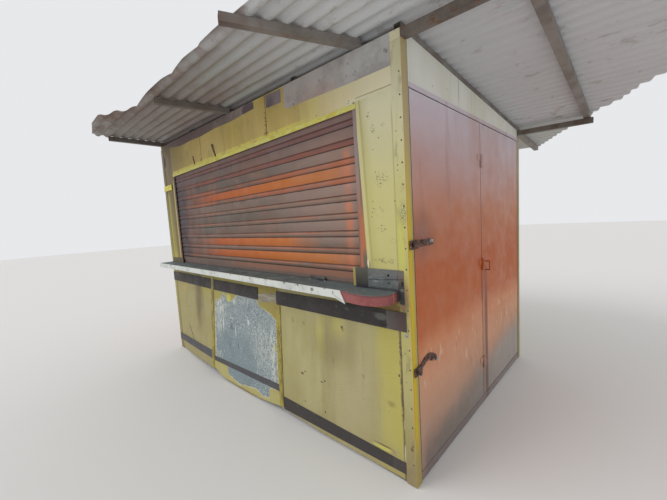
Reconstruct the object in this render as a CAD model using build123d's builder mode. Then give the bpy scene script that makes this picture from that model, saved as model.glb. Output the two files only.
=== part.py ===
"""A street kiosk: a hollow steel box on a welded frame, clad in thin sheet.

Front: a roller shutter over a narrow counter, three loose lower sheets, a header.
Right side: one hinged leaf held by two hasps, and one fixed panel of the same size.
Roof: lapped corrugated sheets on tubes, out over the front, the right side and the back.
Frame: +Z up, the front faces -Y, the origin is on the ground under the middle of the floor.
Lengths are in millimetres. A share of the width is a plain number.
"""
from build123d import *
import os

os.makedirs("parts", exist_ok=True)

# Body
width = 3200.0
depth = 2000.0
angle_front = 60.0
angle_side = 55.0
angle_thick = 4.0
skin = 1.5
tube = 40.0
tube_wall = 2.0
base_tube = 50.0
base_wall = 3.0
floor_thick = 3.0
weld_gap = 0.3
seat_gap = 0.3
post_gap = 3.0
sheet_gap = 2.0
seam_gap = 1.0
sheet_bottom = 12.0
mid_rail_z = 1030.0

# Roof plane: height of the sheets' underside above the front right corner, and its falls
roof_height = 2335.0
fall_right = 0.03
fall_back = 0.08
sheet_wave = 9.0
sheet_thick = 0.8
waves_per_sheet = 9
roof_courses = 4
lap_gap = 0.3
roof_left_out = 20.0
roof_right_out = 930.0
front_out = 540.0
front_left_out = 600.0
rear_out = 880.0
# Ragged front edge: share of the half width, and reach in front of the wall
front_edge = ((0.783, 537.0), (0.664, 546.0), (0.576, 563.0), (0.483, 556.0), (0.448, 543.0),
              (0.349, 559.0), (0.195, 532.0), (0.109, 556.0), (-0.003, 563.0), (-0.279, 528.0),
              (-0.363, 578.0), (-0.46, 649.0), (-0.555, 704.0), (-0.739, 699.0), (-0.993, 636.0))
# Ragged rear right edge: distance beyond the right side, and share of the sheets' run to the back
rear_edge = ((-10.0, 1.0), (0.0, 0.9951), (242.0, 0.8545), (421.0, 0.7674), (570.0, 0.6781),
             (689.0, 0.6365), (792.0, 0.566), (907.0, 0.5174), (roof_right_out, 0.5104))

# Roof tubes: rafters by share of the half width, arms by share at the tip and at the wall
rafter_shares = (-0.98, -0.5, -0.01, 0.494, 0.98)
rafter_reach = 850.0
end_rafter_out = 490.0
end_rafter_reach = 60.0
arm_shares = ((-0.98, -0.98), (-0.0875, -0.01), (0.672, 0.84))
arm_out = 500.0
long_arm_out = 610.0
arm_inset = 22.0
arm_end_gap = 2.0

# Front wall
jamb_width = 285.0
head_drop = 325.0
jamb_seam_rise = 50.0
lip_height = 26.0
lip_thick = 3.0
apron_bottom = 832.0
apron_top = 932.0
apron_rise = 12.0
apron_thick = 4.0
apron_side_gap = 2.0
apron_past_seam = 20.0
apron_right_gap = 26.0
cover_width = 48.0
cover_thick = 3.0
cover_foot = 56.0
band_thick = 1.0
plate_gap = 0.2
left_upright_x = -0.1766 * width
right_upright_x = 0.1547 * width
header_left_seam = -0.178 * width
header_right_seam = 0.158 * width
apron_break_x = 0.072 * width
# How far the feet of the lower sheets have sprung out at the two seams
left_lean = 87.0
right_lean = 49.0
# Ragged feet of the lower sheets: share of the half width and height
left_foot = ((-0.354, 60.0), (-0.5, 44.0), (-0.7, 20.0), (-0.9, 12.0))
centre_foot = ((0.309, 49.0), (0.238, 34.0), (0.125, 14.0), (0.0375, 6.0), (-0.094, 7.0),
               (-0.24, 18.0), (-0.29, 46.0), (-0.3125, 64.0), (-0.352, 70.0))
right_foot = ((0.9, 12.0), (0.56, 14.0), (0.45, 30.0), (0.31, 40.0))
# Dark bands low on the three sheets: lower and upper height at the left end, then at the right
low_bands = ((99.0, 180.0, 144.0, 227.0), (144.0, 188.0, 160.0, 215.0), (42.0, 139.0, 43.0, 111.0))
slot_across = 15.0
# Two slots cut in the header: share of the half width and height over the opening, at both ends
header_slots = ((-0.47, 126.0, -0.4545, 46.0), (-0.2144, 157.0, -0.1763, 43.0))
# Lower edges of the two old sheets over the header: share of the half width and depth under the roof
valance_left = ((-0.909, 67.0), (-0.8, 99.0), (-0.644, 126.0), (-0.484, 117.0), (-0.342, 122.0),
                (-0.175, 110.0), (0.012, 113.0), (0.226, 97.0))
valance_right = ((0.449, 179.0), (0.47, 194.0), (0.6, 192.0), (0.78, 196.0), (0.961, 191.0))
# A small plate beside the header's right seam
valance_plate = ((0.323, 134.0), (0.429, 138.0), (0.431, 53.0), (0.323, 52.0))
valance_thick = 1.0
jamb_bar_length = 226.0
jamb_bar_height = 60.0
jamb_bar_drop = 135.0
jamb_bar_thick = 6.0

# Counter
counter_top = 1055.0
counter_out = 145.0
counter_thick = 3.0
counter_left_gap = 10.0
counter_right_gap = 59.0
end_width = 338.0
end_start = 2.0
end_meet = 40.0
end_height = 54.0
end_wall = 3.0
# Plan of the rounded end: distances from its right side, and in front of the counter's front
end_side = (0.0, -45.0)
end_corner = (26.0, -11.0)
end_front = (65.0, 12.0)
end_bow = (146.0, 22.0)
edge_height = 46.0
edge_thick = 3.0
edge_fold = 36.0
edge_drop = 24.0
upstand_thick = 3.0
upstand_right_start = 359.0
upstand_right_gap = 32.0
upstand_right_height = 104.0
upstand_leg_gap = 3.0
upstand_leg_foot = 985.0
upstand_left_start = 338.0
upstand_left_gap = 40.0
upstand_left_height = 55.0
upstand_hole_x = 121.0
upstand_hole_z = 74.0
upstand_hole_radius = 7.0
bracket_thick = 5.0
bracket_nose = 12.0
bracket_foot = 8.0
bracket_from_seam = 60.0
bracket_last = 400.0

# Shutter
slat_pitch = 101.3
slat_face = 67.3
slat_thick = 1.2
slat_bow = 5.0
slat_start = 1128.0
slat_gap = 0.3
slat_end_gap = 3.0
roll_bow = 7.0
guide_depth = 60.0
guide_width = 34.0
guide_across = 30.0
guide_wall = 2.0
guide_rise = 102.0
bar_flange = 16.0
bar_web = 4.0

# Right side: the leaf, the mullion and the fixed panel
leaf_bottom = 58.0
leaf_top_rise = 28.0
leaf_gap = 8.0
leaf_stand = 2.0
leaf_frame = 30.0
leaf_wall = 3.0
mullion_y = 30.0
head_gap = 6.0
head_strip = 24.0
sill_foot = 6.0
sill_gap = 5.0
trim_thick = 3.0
trim_side_gap = 2.0
side_lap = 4.0
hinge_radius = 9.0
hinge_pin_radius = 5.0
pin_clearance = 0.3
pin_rise = 6.0
knuckle_gap = 1.0
hinge_knuckle = 40.0
hinge_plate = 4.0
hinge_reach = 60.0
hinge_from_end = 260.0
pull_y = 92.0
pull_rise = 972.0
pull_height = 64.0
pull_out = 28.0
pull_radius = 5.0

# Hasps and staples
upper_hasp_drop = 753.0
lower_hasp_rise = 572.0
staple_inset = 30.0
staple_half = 7.0
staple_radius = 4.0
staple_out = 30.0
flap_offset = 5.0
flap_thick = 4.0
flap_height = 44.0
flap_past = 22.0
slot_width = 20.0
slot_height = 32.0
strap_gap = 12.0
strap_length = 178.0
strap_height = 32.0
strap_rise = 34.0
strap_steps = 8
knuckle_radius = 6.0
bolt_radius = 9.0
bolt_head = 6.0
bolt_from_end = 18.0
bolt_from_knuckle = 75.0

half_width = width / 2
half_depth = depth / 2
half_opening = half_width - jamb_width
opening_top = roof_height - head_drop
jamb_seam = opening_top + jamb_seam_rise
guide_top = opening_top + guide_rise
leaf_top = opening_top + leaf_top_rise
skin_front = -half_depth + angle_thick
skin_right = half_width - angle_thick
frame_front = skin_front + skin
frame_back = half_depth - angle_thick - skin
frame_left = -half_width + angle_thick + skin
frame_right = half_width - angle_thick - skin
tilt_across = fall_right * tube / 2
tilt_back = fall_back * tube / 2
tube_upright = tube * (1 + fall_back ** 2)
top_drop = seat_gap + tilt_across + tilt_back + tube / 2
side_drop = seat_gap + tilt_across + tube_upright / 2
post_top_drop = top_drop + tube / 2 + post_gap


def roof_z(x, y):
    """Height of the roof sheets' underside: level out to the front, falling to the back."""
    return roof_height - fall_right * (x - half_width) - fall_back * max(0, y + half_depth)


def rafter_z(x, y):
    """Height of the rafters' underside, where the top rails end."""
    return roof_z(x, y) - seat_gap - tilt_across - tube_upright


def top_point(x, y, drop):
    """A point on the axis of a top rail, a drop below the rafters."""
    return (x, y, rafter_z(x, y) - drop)


def post_top(x, y):
    """Height where a post stops, just under the top rail."""
    return rafter_z(x, y) - post_top_drop


def sheet_top(x, y):
    """Height where a wall sheet stops, just under the rafters."""
    return rafter_z(x, y) - sheet_gap


def tube_section(start, end, size, wall):
    """The hollow square section of a tube that runs from start to end."""
    run = Vector(*end) - Vector(*start)
    level = Vector(0, 0, 1) if abs(run.Z) < run.length * 0.9 else Vector(1, 0, 0)
    with BuildSketch(Plane(origin=start, x_dir=run.cross(level), z_dir=run)) as section:
        Rectangle(size, size)
        Rectangle(size - 2 * wall, size - 2 * wall, mode=Mode.SUBTRACT)
    return section.sketch


def tube_length(start, end):
    """Length of the tube from start to end."""
    return (Vector(*end) - Vector(*start)).length


def outline_on(corners, plane):
    """A flat outline through its corners, on a plane."""
    with BuildSketch(plane) as outline:
        with BuildLine():
            Polyline(*corners, close=True)
        make_face()
    return outline.sketch


def front_plane(y):
    """A plane that faces the front, with x along +X and y upwards."""
    return Plane(origin=(0, y, 0), x_dir=(1, 0, 0), z_dir=(0, -1, 0))


def side_plane(x):
    """A plane that faces the right side, with x along +Y and y upwards."""
    return Plane(origin=(x, 0, 0), x_dir=(0, 1, 0), z_dir=(1, 0, 0))


def box_corners(a0, a1, b0, b1):
    """The four corners of an upright rectangle."""
    return ((a0, b0), (a1, b0), (a1, b1), (a0, b1))


def save(piece, name):
    """Labels a finished piece and writes its file."""
    piece.part.label = name
    export_step(piece.part, "parts/" + name + ".step")


# Base frame, joists and floor
rail_y = frame_back - base_tube / 2
rail_x = frame_right - base_tube / 2
rail_end_y = rail_y - base_tube / 2 - weld_gap
base_axis = base_tube / 2
with BuildPart() as base_rails:
    for y in (-rail_y, rail_y):
        ends = ((frame_left, y, base_axis), (frame_right, y, base_axis))
        extrude(tube_section(*ends, base_tube, base_wall), amount=tube_length(*ends))
    for x in (-rail_x, rail_x):
        ends = ((x, -rail_end_y, base_axis), (x, rail_end_y, base_axis))
        extrude(tube_section(*ends, base_tube, base_wall), amount=tube_length(*ends))
save(base_rails, "base_rails")

joist_step = width / 4
with BuildPart() as floor_joists:
    for x in (-joist_step, 0, joist_step):
        ends = ((x, -rail_end_y, base_axis), (x, rail_end_y, base_axis))
        extrude(tube_section(*ends, base_tube, base_wall), amount=tube_length(*ends))
save(floor_joists, "floor_joists")

with BuildPart() as floor_plate:
    with BuildSketch(Plane.XY.offset(base_tube)):
        Rectangle(2 * (frame_right - tube - seam_gap), 2 * (frame_back - tube - seam_gap))
    extrude(amount=floor_thick)
save(floor_plate, "floor_plate")

# Corner posts: steel angles with the wide leg on the long walls
with BuildPart() as corner_posts:
    for sx in (-1, 1):
        for sy in (-1, 1):
            x, y = sx * half_width, sy * half_depth
            inner_x, inner_y = x - sx * angle_thick, y - sy * angle_thick
            corners = ((x, y), (x - sx * angle_front, y), (x - sx * angle_front, inner_y),
                       (inner_x, inner_y), (inner_x, y - sy * angle_side), (x, y - sy * angle_side))
            extrude(outline_on(corners, Plane.XY), amount=post_top(x, y))
save(corner_posts, "corner_posts")

# Top rails: tubes that follow the roof's falls. The long ones run out to the right
top_y = frame_back - tube / 2
top_x = frame_right - tube / 2
end_rafter_x = half_width + end_rafter_out
side_rail_end = top_y - tube / 2 - tilt_back - seat_gap
with BuildPart() as top_rails:
    for y in (-top_y, top_y):
        ends = (top_point(frame_left + tilt_across, y, top_drop), top_point(end_rafter_x + tube, y, top_drop))
        extrude(tube_section(*ends, tube, tube_wall), amount=tube_length(*ends))
    for x in (-top_x, top_x):
        ends = (top_point(x, -side_rail_end, side_drop), top_point(x, side_rail_end, side_drop))
        extrude(tube_section(*ends, tube, tube_wall), amount=tube_length(*ends))
save(top_rails, "top_rails")

# Wall posts, the mullion and the rails between them
jamb_x = half_opening + guide_width + tube / 2
counter_rail_z = counter_top - counter_thick - tube / 2
header_rail_z = guide_top + seat_gap + tube / 2
head_rail_z = leaf_top + head_gap + tube / 2
rear_post_x = width / 6
post_reach = tube / 2 + weld_gap
with BuildPart() as wall_posts:
    for x, y, top in ((-jamb_x, -top_y, post_top(-jamb_x, -top_y)),
                      (jamb_x, -top_y, post_top(jamb_x, -top_y)),
                      (left_upright_x, -top_y, counter_rail_z - post_reach),
                      (right_upright_x, -top_y, counter_rail_z - post_reach),
                      (-rear_post_x, top_y, post_top(-rear_post_x, top_y)),
                      (rear_post_x, top_y, post_top(rear_post_x, top_y)),
                      (-top_x, 0, post_top(-top_x, 0))):
        ends = ((x, y, base_tube), (x, y, top))
        extrude(tube_section(*ends, tube, tube_wall), amount=tube_length(*ends))
save(wall_posts, "wall_posts")

with BuildPart() as door_mullion:
    ends = ((top_x, mullion_y, base_tube), (top_x, mullion_y, head_rail_z - post_reach))
    extrude(tube_section(*ends, tube, tube_wall), amount=tube_length(*ends))
save(door_mullion, "door_mullion")

jamb_inner = jamb_x - post_reach
rear_inner = rear_post_x - post_reach
rear_outer = rear_post_x + post_reach
with BuildPart() as wall_rails:
    for ends in (((-jamb_inner, -top_y, counter_rail_z), (jamb_inner, -top_y, counter_rail_z)),
                 ((-jamb_inner, -top_y, header_rail_z), (jamb_inner, -top_y, header_rail_z)),
                 ((frame_left, top_y, mid_rail_z), (-rear_outer, top_y, mid_rail_z)),
                 ((-rear_inner, top_y, mid_rail_z), (rear_inner, top_y, mid_rail_z)),
                 ((rear_outer, top_y, mid_rail_z), (frame_right, top_y, mid_rail_z)),
                 ((-top_x, -top_y + tube, mid_rail_z), (-top_x, -post_reach, mid_rail_z)),
                 ((-top_x, post_reach, mid_rail_z), (-top_x, top_y - post_reach, mid_rail_z)),
                 ((top_x, -frame_back, head_rail_z), (top_x, frame_back, head_rail_z))):
        extrude(tube_section(*ends, tube, tube_wall), amount=tube_length(*ends))
save(wall_rails, "wall_rails")

# Front skin: three lower sheets, whose feet have sprung out at the two seams
lower_top = counter_top - counter_thick - seam_gap
post_edge = half_width - angle_front
lean_line = ((-half_width, 0.0), (-post_edge, 0.0), (left_upright_x, left_lean),
             (right_upright_x, right_lean), (post_edge, 0.0), (half_width, 0.0))


def lean(x, z):
    """How far the lower front stands out at x and z: nothing under the counter, most at the foot."""
    for (x0, out0), (x1, out1) in zip(lean_line, lean_line[1:]):
        if x0 <= x <= x1:
            foot = out0 + (out1 - out0) * (x - x0) / (x1 - x0)
            return foot * (lower_top - z) / (lower_top - sheet_bottom)
    return 0.0


def leaning(xs, corners, starts, thick):
    """A plate on the leaning lower front, bent at each of xs, where it stands off by its start."""
    heights = [z for _, z in corners]
    with BuildPart() as plate:
        for x0, x1, start0, start1 in zip(xs, xs[1:], starts, starts[1:]):
            for z in (min(heights), max(heights)):
                y0, y1 = skin_front - start0 - lean(x0, z), skin_front - start1 - lean(x1, z)
                with BuildSketch(Plane.XY.offset(z)):
                    with BuildLine():
                        Polyline((x0, y0), (x1, y1), (x1, y1 - thick), (x0, y0 - thick), close=True)
                    make_face()
            loft(ruled=True)
        extrude(outline_on(corners, front_plane(0)), amount=depth, mode=Mode.INTERSECT)
    return plate.part


def ragged_foot(points):
    """The foot of a sheet from its points, each a share of the half width and a height."""
    return [(share * half_width, z) for share, z in points]


with BuildPart() as front_sheet_left:
    x0, x1 = frame_left, left_upright_x - seam_gap
    corners = ((x0, lower_top), (x0, sheet_bottom), *reversed(ragged_foot(left_foot)),
               (x1, left_foot[0][1]), (x1, lower_top))
    add(leaning((x0, -post_edge, x1), corners, (-skin, -skin, -skin), skin))
save(front_sheet_left, "front_sheet_left")

with BuildPart() as front_sheet_centre:
    x0, x1 = left_upright_x + seam_gap, right_upright_x - seam_gap
    corners = ((x0, lower_top), (x0, centre_foot[-1][1]), *reversed(ragged_foot(centre_foot)),
               (x1, centre_foot[0][1]), (x1, lower_top))
    add(leaning((x0, x1), corners, (-skin, -skin), skin))
save(front_sheet_centre, "front_sheet_centre")

with BuildPart() as front_sheet_right:
    x0, x1 = right_upright_x + seam_gap, frame_right
    corners = ((x0, lower_top), (x0, right_foot[-1][1]), *reversed(ragged_foot(right_foot)),
               (x1, sheet_bottom), (x1, lower_top))
    add(leaning((x0, post_edge, x1), corners, (-skin, -skin, -skin), skin))
save(front_sheet_right, "front_sheet_right")

half_cover = cover_width / 2
with BuildPart() as front_cover_strips:
    for x, top in ((left_upright_x, lower_top), (right_upright_x, apron_bottom - seam_gap)):
        foot_face, top_face = (skin_front - plate_gap - max(lean(x - half_cover, z), lean(x, z))
                               for z in (cover_foot, top))
        corners = ((foot_face, cover_foot), (top_face, top),
                   (top_face - cover_thick, top), (foot_face - cover_thick, cover_foot))
        extrude(outline_on(corners, side_plane(x - half_cover)), amount=cover_width)
save(front_cover_strips, "front_cover_strips")

# The dark board under the counter, and the dark bands low down. At their ends they cover the posts
over_post = angle_thick + plate_gap
strip_side = half_cover + seam_gap
left_run = (-half_width, -post_edge, left_upright_x - strip_side)
left_starts = (over_post, over_post, plate_gap)
flat_starts = (plate_gap, plate_gap)
apron_start = right_upright_x - apron_past_seam
apron_end = half_width - apron_right_gap
with BuildPart() as counter_apron:
    corners = box_corners(left_run[0], left_run[-1], apron_bottom, apron_top)
    add(leaning(left_run, corners, left_starts, apron_thick))
    x0, x1 = left_upright_x + strip_side, apron_break_x
    add(leaning((x0, x1), box_corners(x0, x1, apron_bottom, apron_top), flat_starts, apron_thick))
    corners = ((apron_start, apron_bottom), (apron_end, apron_bottom + apron_rise),
               (apron_end, apron_top + apron_rise), (apron_start, apron_top))
    add(leaning((apron_start, right_upright_x, apron_end), corners, (*flat_starts, over_post), apron_thick))
save(counter_apron, "counter_apron")

centre_run = (left_upright_x + strip_side, right_upright_x - strip_side)
right_run = (right_upright_x + strip_side, post_edge - apron_side_gap)
band_runs = ((left_run, left_starts), (centre_run, flat_starts), (right_run, flat_starts))
with BuildPart() as kick_bands:
    for (run, starts), (left_low, left_high, right_low, right_high) in zip(band_runs, low_bands):
        corners = ((run[0], left_low), (run[-1], right_low), (run[-1], right_high), (run[0], left_high))
        add(leaning(run, corners, starts, band_thick))
save(kick_bands, "kick_bands")

jamb_foot = counter_top + seam_gap
with BuildPart() as jamb_sheets:
    for sx in (-1, 1):
        x0, x1 = sorted((sx * half_opening, sx * frame_right))
        corners = box_corners(x0, x1, jamb_foot, jamb_seam)
        extrude(outline_on(corners, front_plane(frame_front)), amount=skin)
save(jamb_sheets, "jamb_sheets")

with BuildPart() as jamb_bar:
    bar_foot = opening_top - jamb_bar_drop
    corners = box_corners(-half_width + seam_gap, -half_width + jamb_bar_length,
                          bar_foot, bar_foot + jamb_bar_height)
    extrude(outline_on(corners, front_plane(-half_depth - weld_gap)), amount=jamb_bar_thick)
save(jamb_bar, "jamb_bar")


def front_top(x):
    """Top of the front skin at x, just under the rafters."""
    return sheet_top(x, -half_depth)


def slot_outline(slot):
    """A narrow slanted slot between its upper and its lower end."""
    top_share, top_rise, foot_share, foot_rise = slot
    top, foot = top_share * half_width, foot_share * half_width
    top_z, foot_z = opening_top + top_rise, opening_top + foot_rise
    half = slot_across / 2
    corners = ((foot - half, foot_z), (foot + half, foot_z), (top + half, top_z), (top - half, top_z))
    return outline_on(corners, front_plane(frame_front))


def under_roof(edge):
    """Points on the front from their shares of the half width and depths under the roof."""
    return [(share * half_width, roof_z(share * half_width, -half_depth) - drop) for share, drop in edge]


header_foot = jamb_seam + seam_gap
with BuildPart() as header_sheet_left:
    x0, x1 = frame_left, header_left_seam - seam_gap
    corners = ((x0, header_foot), (-half_opening, header_foot), (-half_opening, opening_top),
               (x1, opening_top), (x1, front_top(x1)), (x0, front_top(x0)))
    extrude(outline_on(corners, front_plane(frame_front)), amount=skin)
    extrude(slot_outline(header_slots[0]), amount=skin, mode=Mode.SUBTRACT)
save(header_sheet_left, "header_sheet_left")

with BuildPart() as header_sheet_centre:
    x0, x1 = header_left_seam + seam_gap, header_right_seam - seam_gap
    corners = ((x0, opening_top), (x1, opening_top), (x1, front_top(x1)), (x0, front_top(x0)))
    extrude(outline_on(corners, front_plane(frame_front)), amount=skin)
    extrude(slot_outline(header_slots[1]), amount=skin, mode=Mode.SUBTRACT)
save(header_sheet_centre, "header_sheet_centre")

with BuildPart() as header_sheet_right:
    x0, x1 = header_right_seam + seam_gap, frame_right
    corners = ((x0, opening_top), (half_opening, opening_top), (half_opening, header_foot),
               (x1, header_foot), (x1, front_top(x1)), (x0, front_top(x0)))
    extrude(outline_on(corners, front_plane(frame_front)), amount=skin)
save(header_sheet_right, "header_sheet_right")

with BuildPart() as header_lip:
    corners = box_corners(-half_opening, half_opening, opening_top, opening_top + lip_height)
    extrude(outline_on(corners, front_plane(skin_front)), amount=lip_thick)
save(header_lip, "header_lip")

with BuildPart() as header_valances:
    for edge in (valance_left, valance_right):
        lower = under_roof(edge)
        x0, x1 = lower[0][0], lower[-1][0]
        corners = (*lower, (x1, front_top(x1)), (x0, front_top(x0)))
        extrude(outline_on(corners, front_plane(skin_front)), amount=valance_thick)
    extrude(outline_on(under_roof(valance_plate), front_plane(skin_front)), amount=valance_thick)
save(header_valances, "header_valances")

# Left and rear skins, and the skin over the right side
with BuildPart() as left_wall_sheets:
    for y0, y1 in ((-frame_back, -seam_gap), (seam_gap, frame_back)):
        corners = ((y0, sheet_bottom), (y1, sheet_bottom),
                   (y1, sheet_top(-half_width, y1)), (y0, sheet_top(-half_width, y0)))
        extrude(outline_on(corners, side_plane(frame_left)), amount=-skin)
save(left_wall_sheets, "left_wall_sheets")

with BuildPart() as rear_wall_sheets:
    for x0, x1 in ((frame_left, -rear_post_x - seam_gap), (-rear_post_x + seam_gap, rear_post_x - seam_gap),
                   (rear_post_x + seam_gap, frame_right)):
        corners = ((x0, sheet_bottom), (x1, sheet_bottom),
                   (x1, sheet_top(x1, half_depth)), (x0, sheet_top(x0, half_depth)))
        extrude(outline_on(corners, front_plane(frame_back)), amount=-skin)
save(rear_wall_sheets, "rear_wall_sheets")

side_post_edge = half_depth - angle_side
side_header_foot = leaf_top + head_gap
with BuildPart() as side_header_sheet:
    y0, y1 = -side_post_edge - side_lap, side_post_edge + side_lap
    corners = ((y0, side_header_foot), (y1, side_header_foot),
               (y1, sheet_top(half_width, y1)), (y0, sheet_top(half_width, y0)))
    extrude(outline_on(corners, side_plane(frame_right)), amount=skin)
save(side_header_sheet, "side_header_sheet")

panel_front = mullion_y + tube / 2 + seam_gap
with BuildPart() as side_fixed_panel:
    corners = box_corners(panel_front, frame_back, leaf_bottom, leaf_top)
    extrude(outline_on(corners, side_plane(frame_right)), amount=skin)
save(side_fixed_panel, "side_fixed_panel")

leaf_face = skin_right + leaf_stand
strip_reach = side_post_edge - trim_side_gap
head_top = side_header_foot + head_strip
mullion_front = mullion_y - tube / 2
mullion_back = mullion_y + tube / 2
with BuildPart() as side_trim:
    head = box_corners(-strip_reach, strip_reach, side_header_foot, head_top)
    extrude(outline_on(head, side_plane(skin_right)), amount=trim_thick)
    sill = box_corners(-strip_reach, strip_reach, sill_foot, leaf_bottom - sill_gap)
    extrude(outline_on(sill, side_plane(frame_right)), amount=trim_thick)
    cover = box_corners(mullion_front, mullion_back, leaf_bottom, leaf_top)
    extrude(outline_on(cover, side_plane(frame_right)), amount=leaf_face - frame_right)
save(side_trim, "side_trim")

pull_foot = leaf_bottom + pull_rise - pull_height / 2
pull_top = pull_foot + pull_height
with BuildPart() as panel_pull:
    with BuildLine() as bow:
        Polyline((skin_right, pull_y, pull_foot), (skin_right + pull_out, pull_y, pull_foot),
                 (skin_right + pull_out, pull_y, pull_top), (skin_right, pull_y, pull_top))
    with BuildSketch(Plane(origin=bow.line @ 0, z_dir=bow.line % 0)):
        Circle(pull_radius)
    sweep(path=bow.line, transition=Transition.RIGHT)
save(panel_pull, "panel_pull")

# The hinged leaf: a sheet on a welded frame
leaf_front = -side_post_edge + leaf_gap
leaf_rear = mullion_front - leaf_gap
hinge_y = leaf_rear + leaf_gap / 2
hinge_x = leaf_face + hinge_radius
with BuildPart() as door_sheet:
    corners = box_corners(leaf_front, leaf_rear, leaf_bottom, leaf_top)
    extrude(outline_on(corners, side_plane(leaf_face)), amount=-skin)
save(door_sheet, "door_sheet")

frame_x = leaf_face - skin - leaf_frame / 2
leaf_middle = (leaf_bottom + leaf_top) / 2
rung_front = leaf_front + leaf_frame + weld_gap
rung_rear = leaf_rear - leaf_frame - weld_gap
with BuildPart() as door_frame:
    for y in (leaf_front + leaf_frame / 2, leaf_rear - leaf_frame / 2):
        ends = ((frame_x, y, leaf_bottom), (frame_x, y, leaf_top))
        extrude(tube_section(*ends, leaf_frame, leaf_wall), amount=tube_length(*ends))
    for z in (leaf_bottom + leaf_frame / 2, leaf_middle, leaf_top - leaf_frame / 2):
        ends = ((frame_x, rung_front, z), (frame_x, rung_rear, z))
        extrude(tube_section(*ends, leaf_frame, leaf_wall), amount=tube_length(*ends))
save(door_frame, "door_frame")

# Hinges: a fixed lower knuckle with its pin, and a knuckle on the leaf that drops over it
hinge_heights = (leaf_bottom + hinge_from_end, leaf_middle, leaf_top - hinge_from_end)
with BuildPart() as hinge_pins:
    for z in hinge_heights:
        with BuildSketch(Plane.XY.offset(z - hinge_knuckle)):
            with Locations((hinge_x, hinge_y)):
                Circle(hinge_radius)
            with Locations((leaf_face + hinge_plate / 2, hinge_y + hinge_reach / 2)):
                Rectangle(hinge_plate, hinge_reach)
        extrude(amount=hinge_knuckle)
        with BuildSketch(Plane.XY.offset(z)):
            with Locations((hinge_x, hinge_y)):
                Circle(hinge_pin_radius)
        extrude(amount=hinge_knuckle + pin_rise)
save(hinge_pins, "hinge_pins")

with BuildPart() as door_hinges:
    for z in hinge_heights:
        with BuildSketch(Plane.XY.offset(z + knuckle_gap)):
            with Locations((hinge_x, hinge_y)):
                Circle(hinge_radius)
            with Locations((leaf_face + hinge_plate / 2, hinge_y - hinge_reach / 2)):
                Rectangle(hinge_plate, hinge_reach)
            with Locations((hinge_x, hinge_y)):
                Circle(hinge_pin_radius + pin_clearance, mode=Mode.SUBTRACT)
        extrude(amount=hinge_knuckle)
save(door_hinges, "door_hinges")

# Hasps on the leaf, and the staples on the corner post that pass through their slots
staple_y = -half_depth + staple_inset
flap_end = staple_y - flap_past
upper_hasp_z = leaf_top - upper_hasp_drop
lower_hasp_z = leaf_bottom + lower_hasp_rise
strap_front = leaf_front + strap_gap
strap_rear = strap_front + strap_length
flap_face = half_width + flap_offset


def strap_outline(z, rise):
    """The strap bolted to the leaf: a flat bar that bows upwards by its rise."""
    shares = [step / strap_steps for step in range(strap_steps + 1)]
    middle = [(strap_front + strap_length * s, z + 4 * rise * s * (1 - s)) for s in shares]
    lower = [(y, height - strap_height / 2) for y, height in middle]
    upper = [(y, height + strap_height / 2) for y, height in reversed(middle)]
    return outline_on((*lower, *upper), side_plane(leaf_face))


def flap_outline(z):
    """The flap of a hasp with the slot for its staple."""
    with BuildSketch(side_plane(flap_face)) as flap:
        with Locations(((flap_end + strap_front) / 2, z)):
            Rectangle(strap_front - flap_end, flap_height)
        with Locations((staple_y, z)):
            Rectangle(slot_width, slot_height, mode=Mode.SUBTRACT)
    return flap.sketch


def knuckle_outline(z):
    """The round knuckle between the flap and the strap, seen from above."""
    with BuildSketch(Plane.XY.offset(z - flap_height / 2)) as knuckle:
        with Locations((flap_face + flap_thick / 2, strap_front)):
            Circle(knuckle_radius)
    return knuckle.sketch


def bolt_outline(z, rise):
    """The hexagon heads of the two bolts through the strap."""
    share = bolt_from_knuckle / strap_length
    with BuildSketch(side_plane(flap_face)) as heads:
        with Locations((strap_front + bolt_from_knuckle, z + 4 * rise * share * (1 - share)),
                       (strap_rear - bolt_from_end, z)):
            RegularPolygon(bolt_radius, 6)
    return heads.sketch


with BuildPart() as hasp_upper:
    extrude(strap_outline(upper_hasp_z, 0), amount=flap_face - leaf_face)
    extrude(flap_outline(upper_hasp_z), amount=flap_thick)
    extrude(knuckle_outline(upper_hasp_z), amount=flap_height)
    extrude(bolt_outline(upper_hasp_z, 0), amount=bolt_head)
save(hasp_upper, "hasp_upper")

with BuildPart() as hasp_lower:
    extrude(strap_outline(lower_hasp_z, strap_rise), amount=flap_face - leaf_face)
    extrude(flap_outline(lower_hasp_z), amount=flap_thick)
    extrude(knuckle_outline(lower_hasp_z), amount=flap_height)
    extrude(bolt_outline(lower_hasp_z, strap_rise), amount=bolt_head)
save(hasp_lower, "hasp_lower")

with BuildPart() as staples:
    for z in (lower_hasp_z, upper_hasp_z):
        foot_z, top_z = z - staple_half, z + staple_half
        with BuildLine() as bow:
            Polyline((half_width, staple_y, foot_z), (half_width + staple_out, staple_y, foot_z),
                     (half_width + staple_out, staple_y, top_z), (half_width, staple_y, top_z))
        with BuildSketch(Plane(origin=bow.line @ 0, z_dir=bow.line % 0)):
            Circle(staple_radius)
        sweep(path=bow.line, transition=Transition.RIGHT)
save(staples, "staples")

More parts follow.
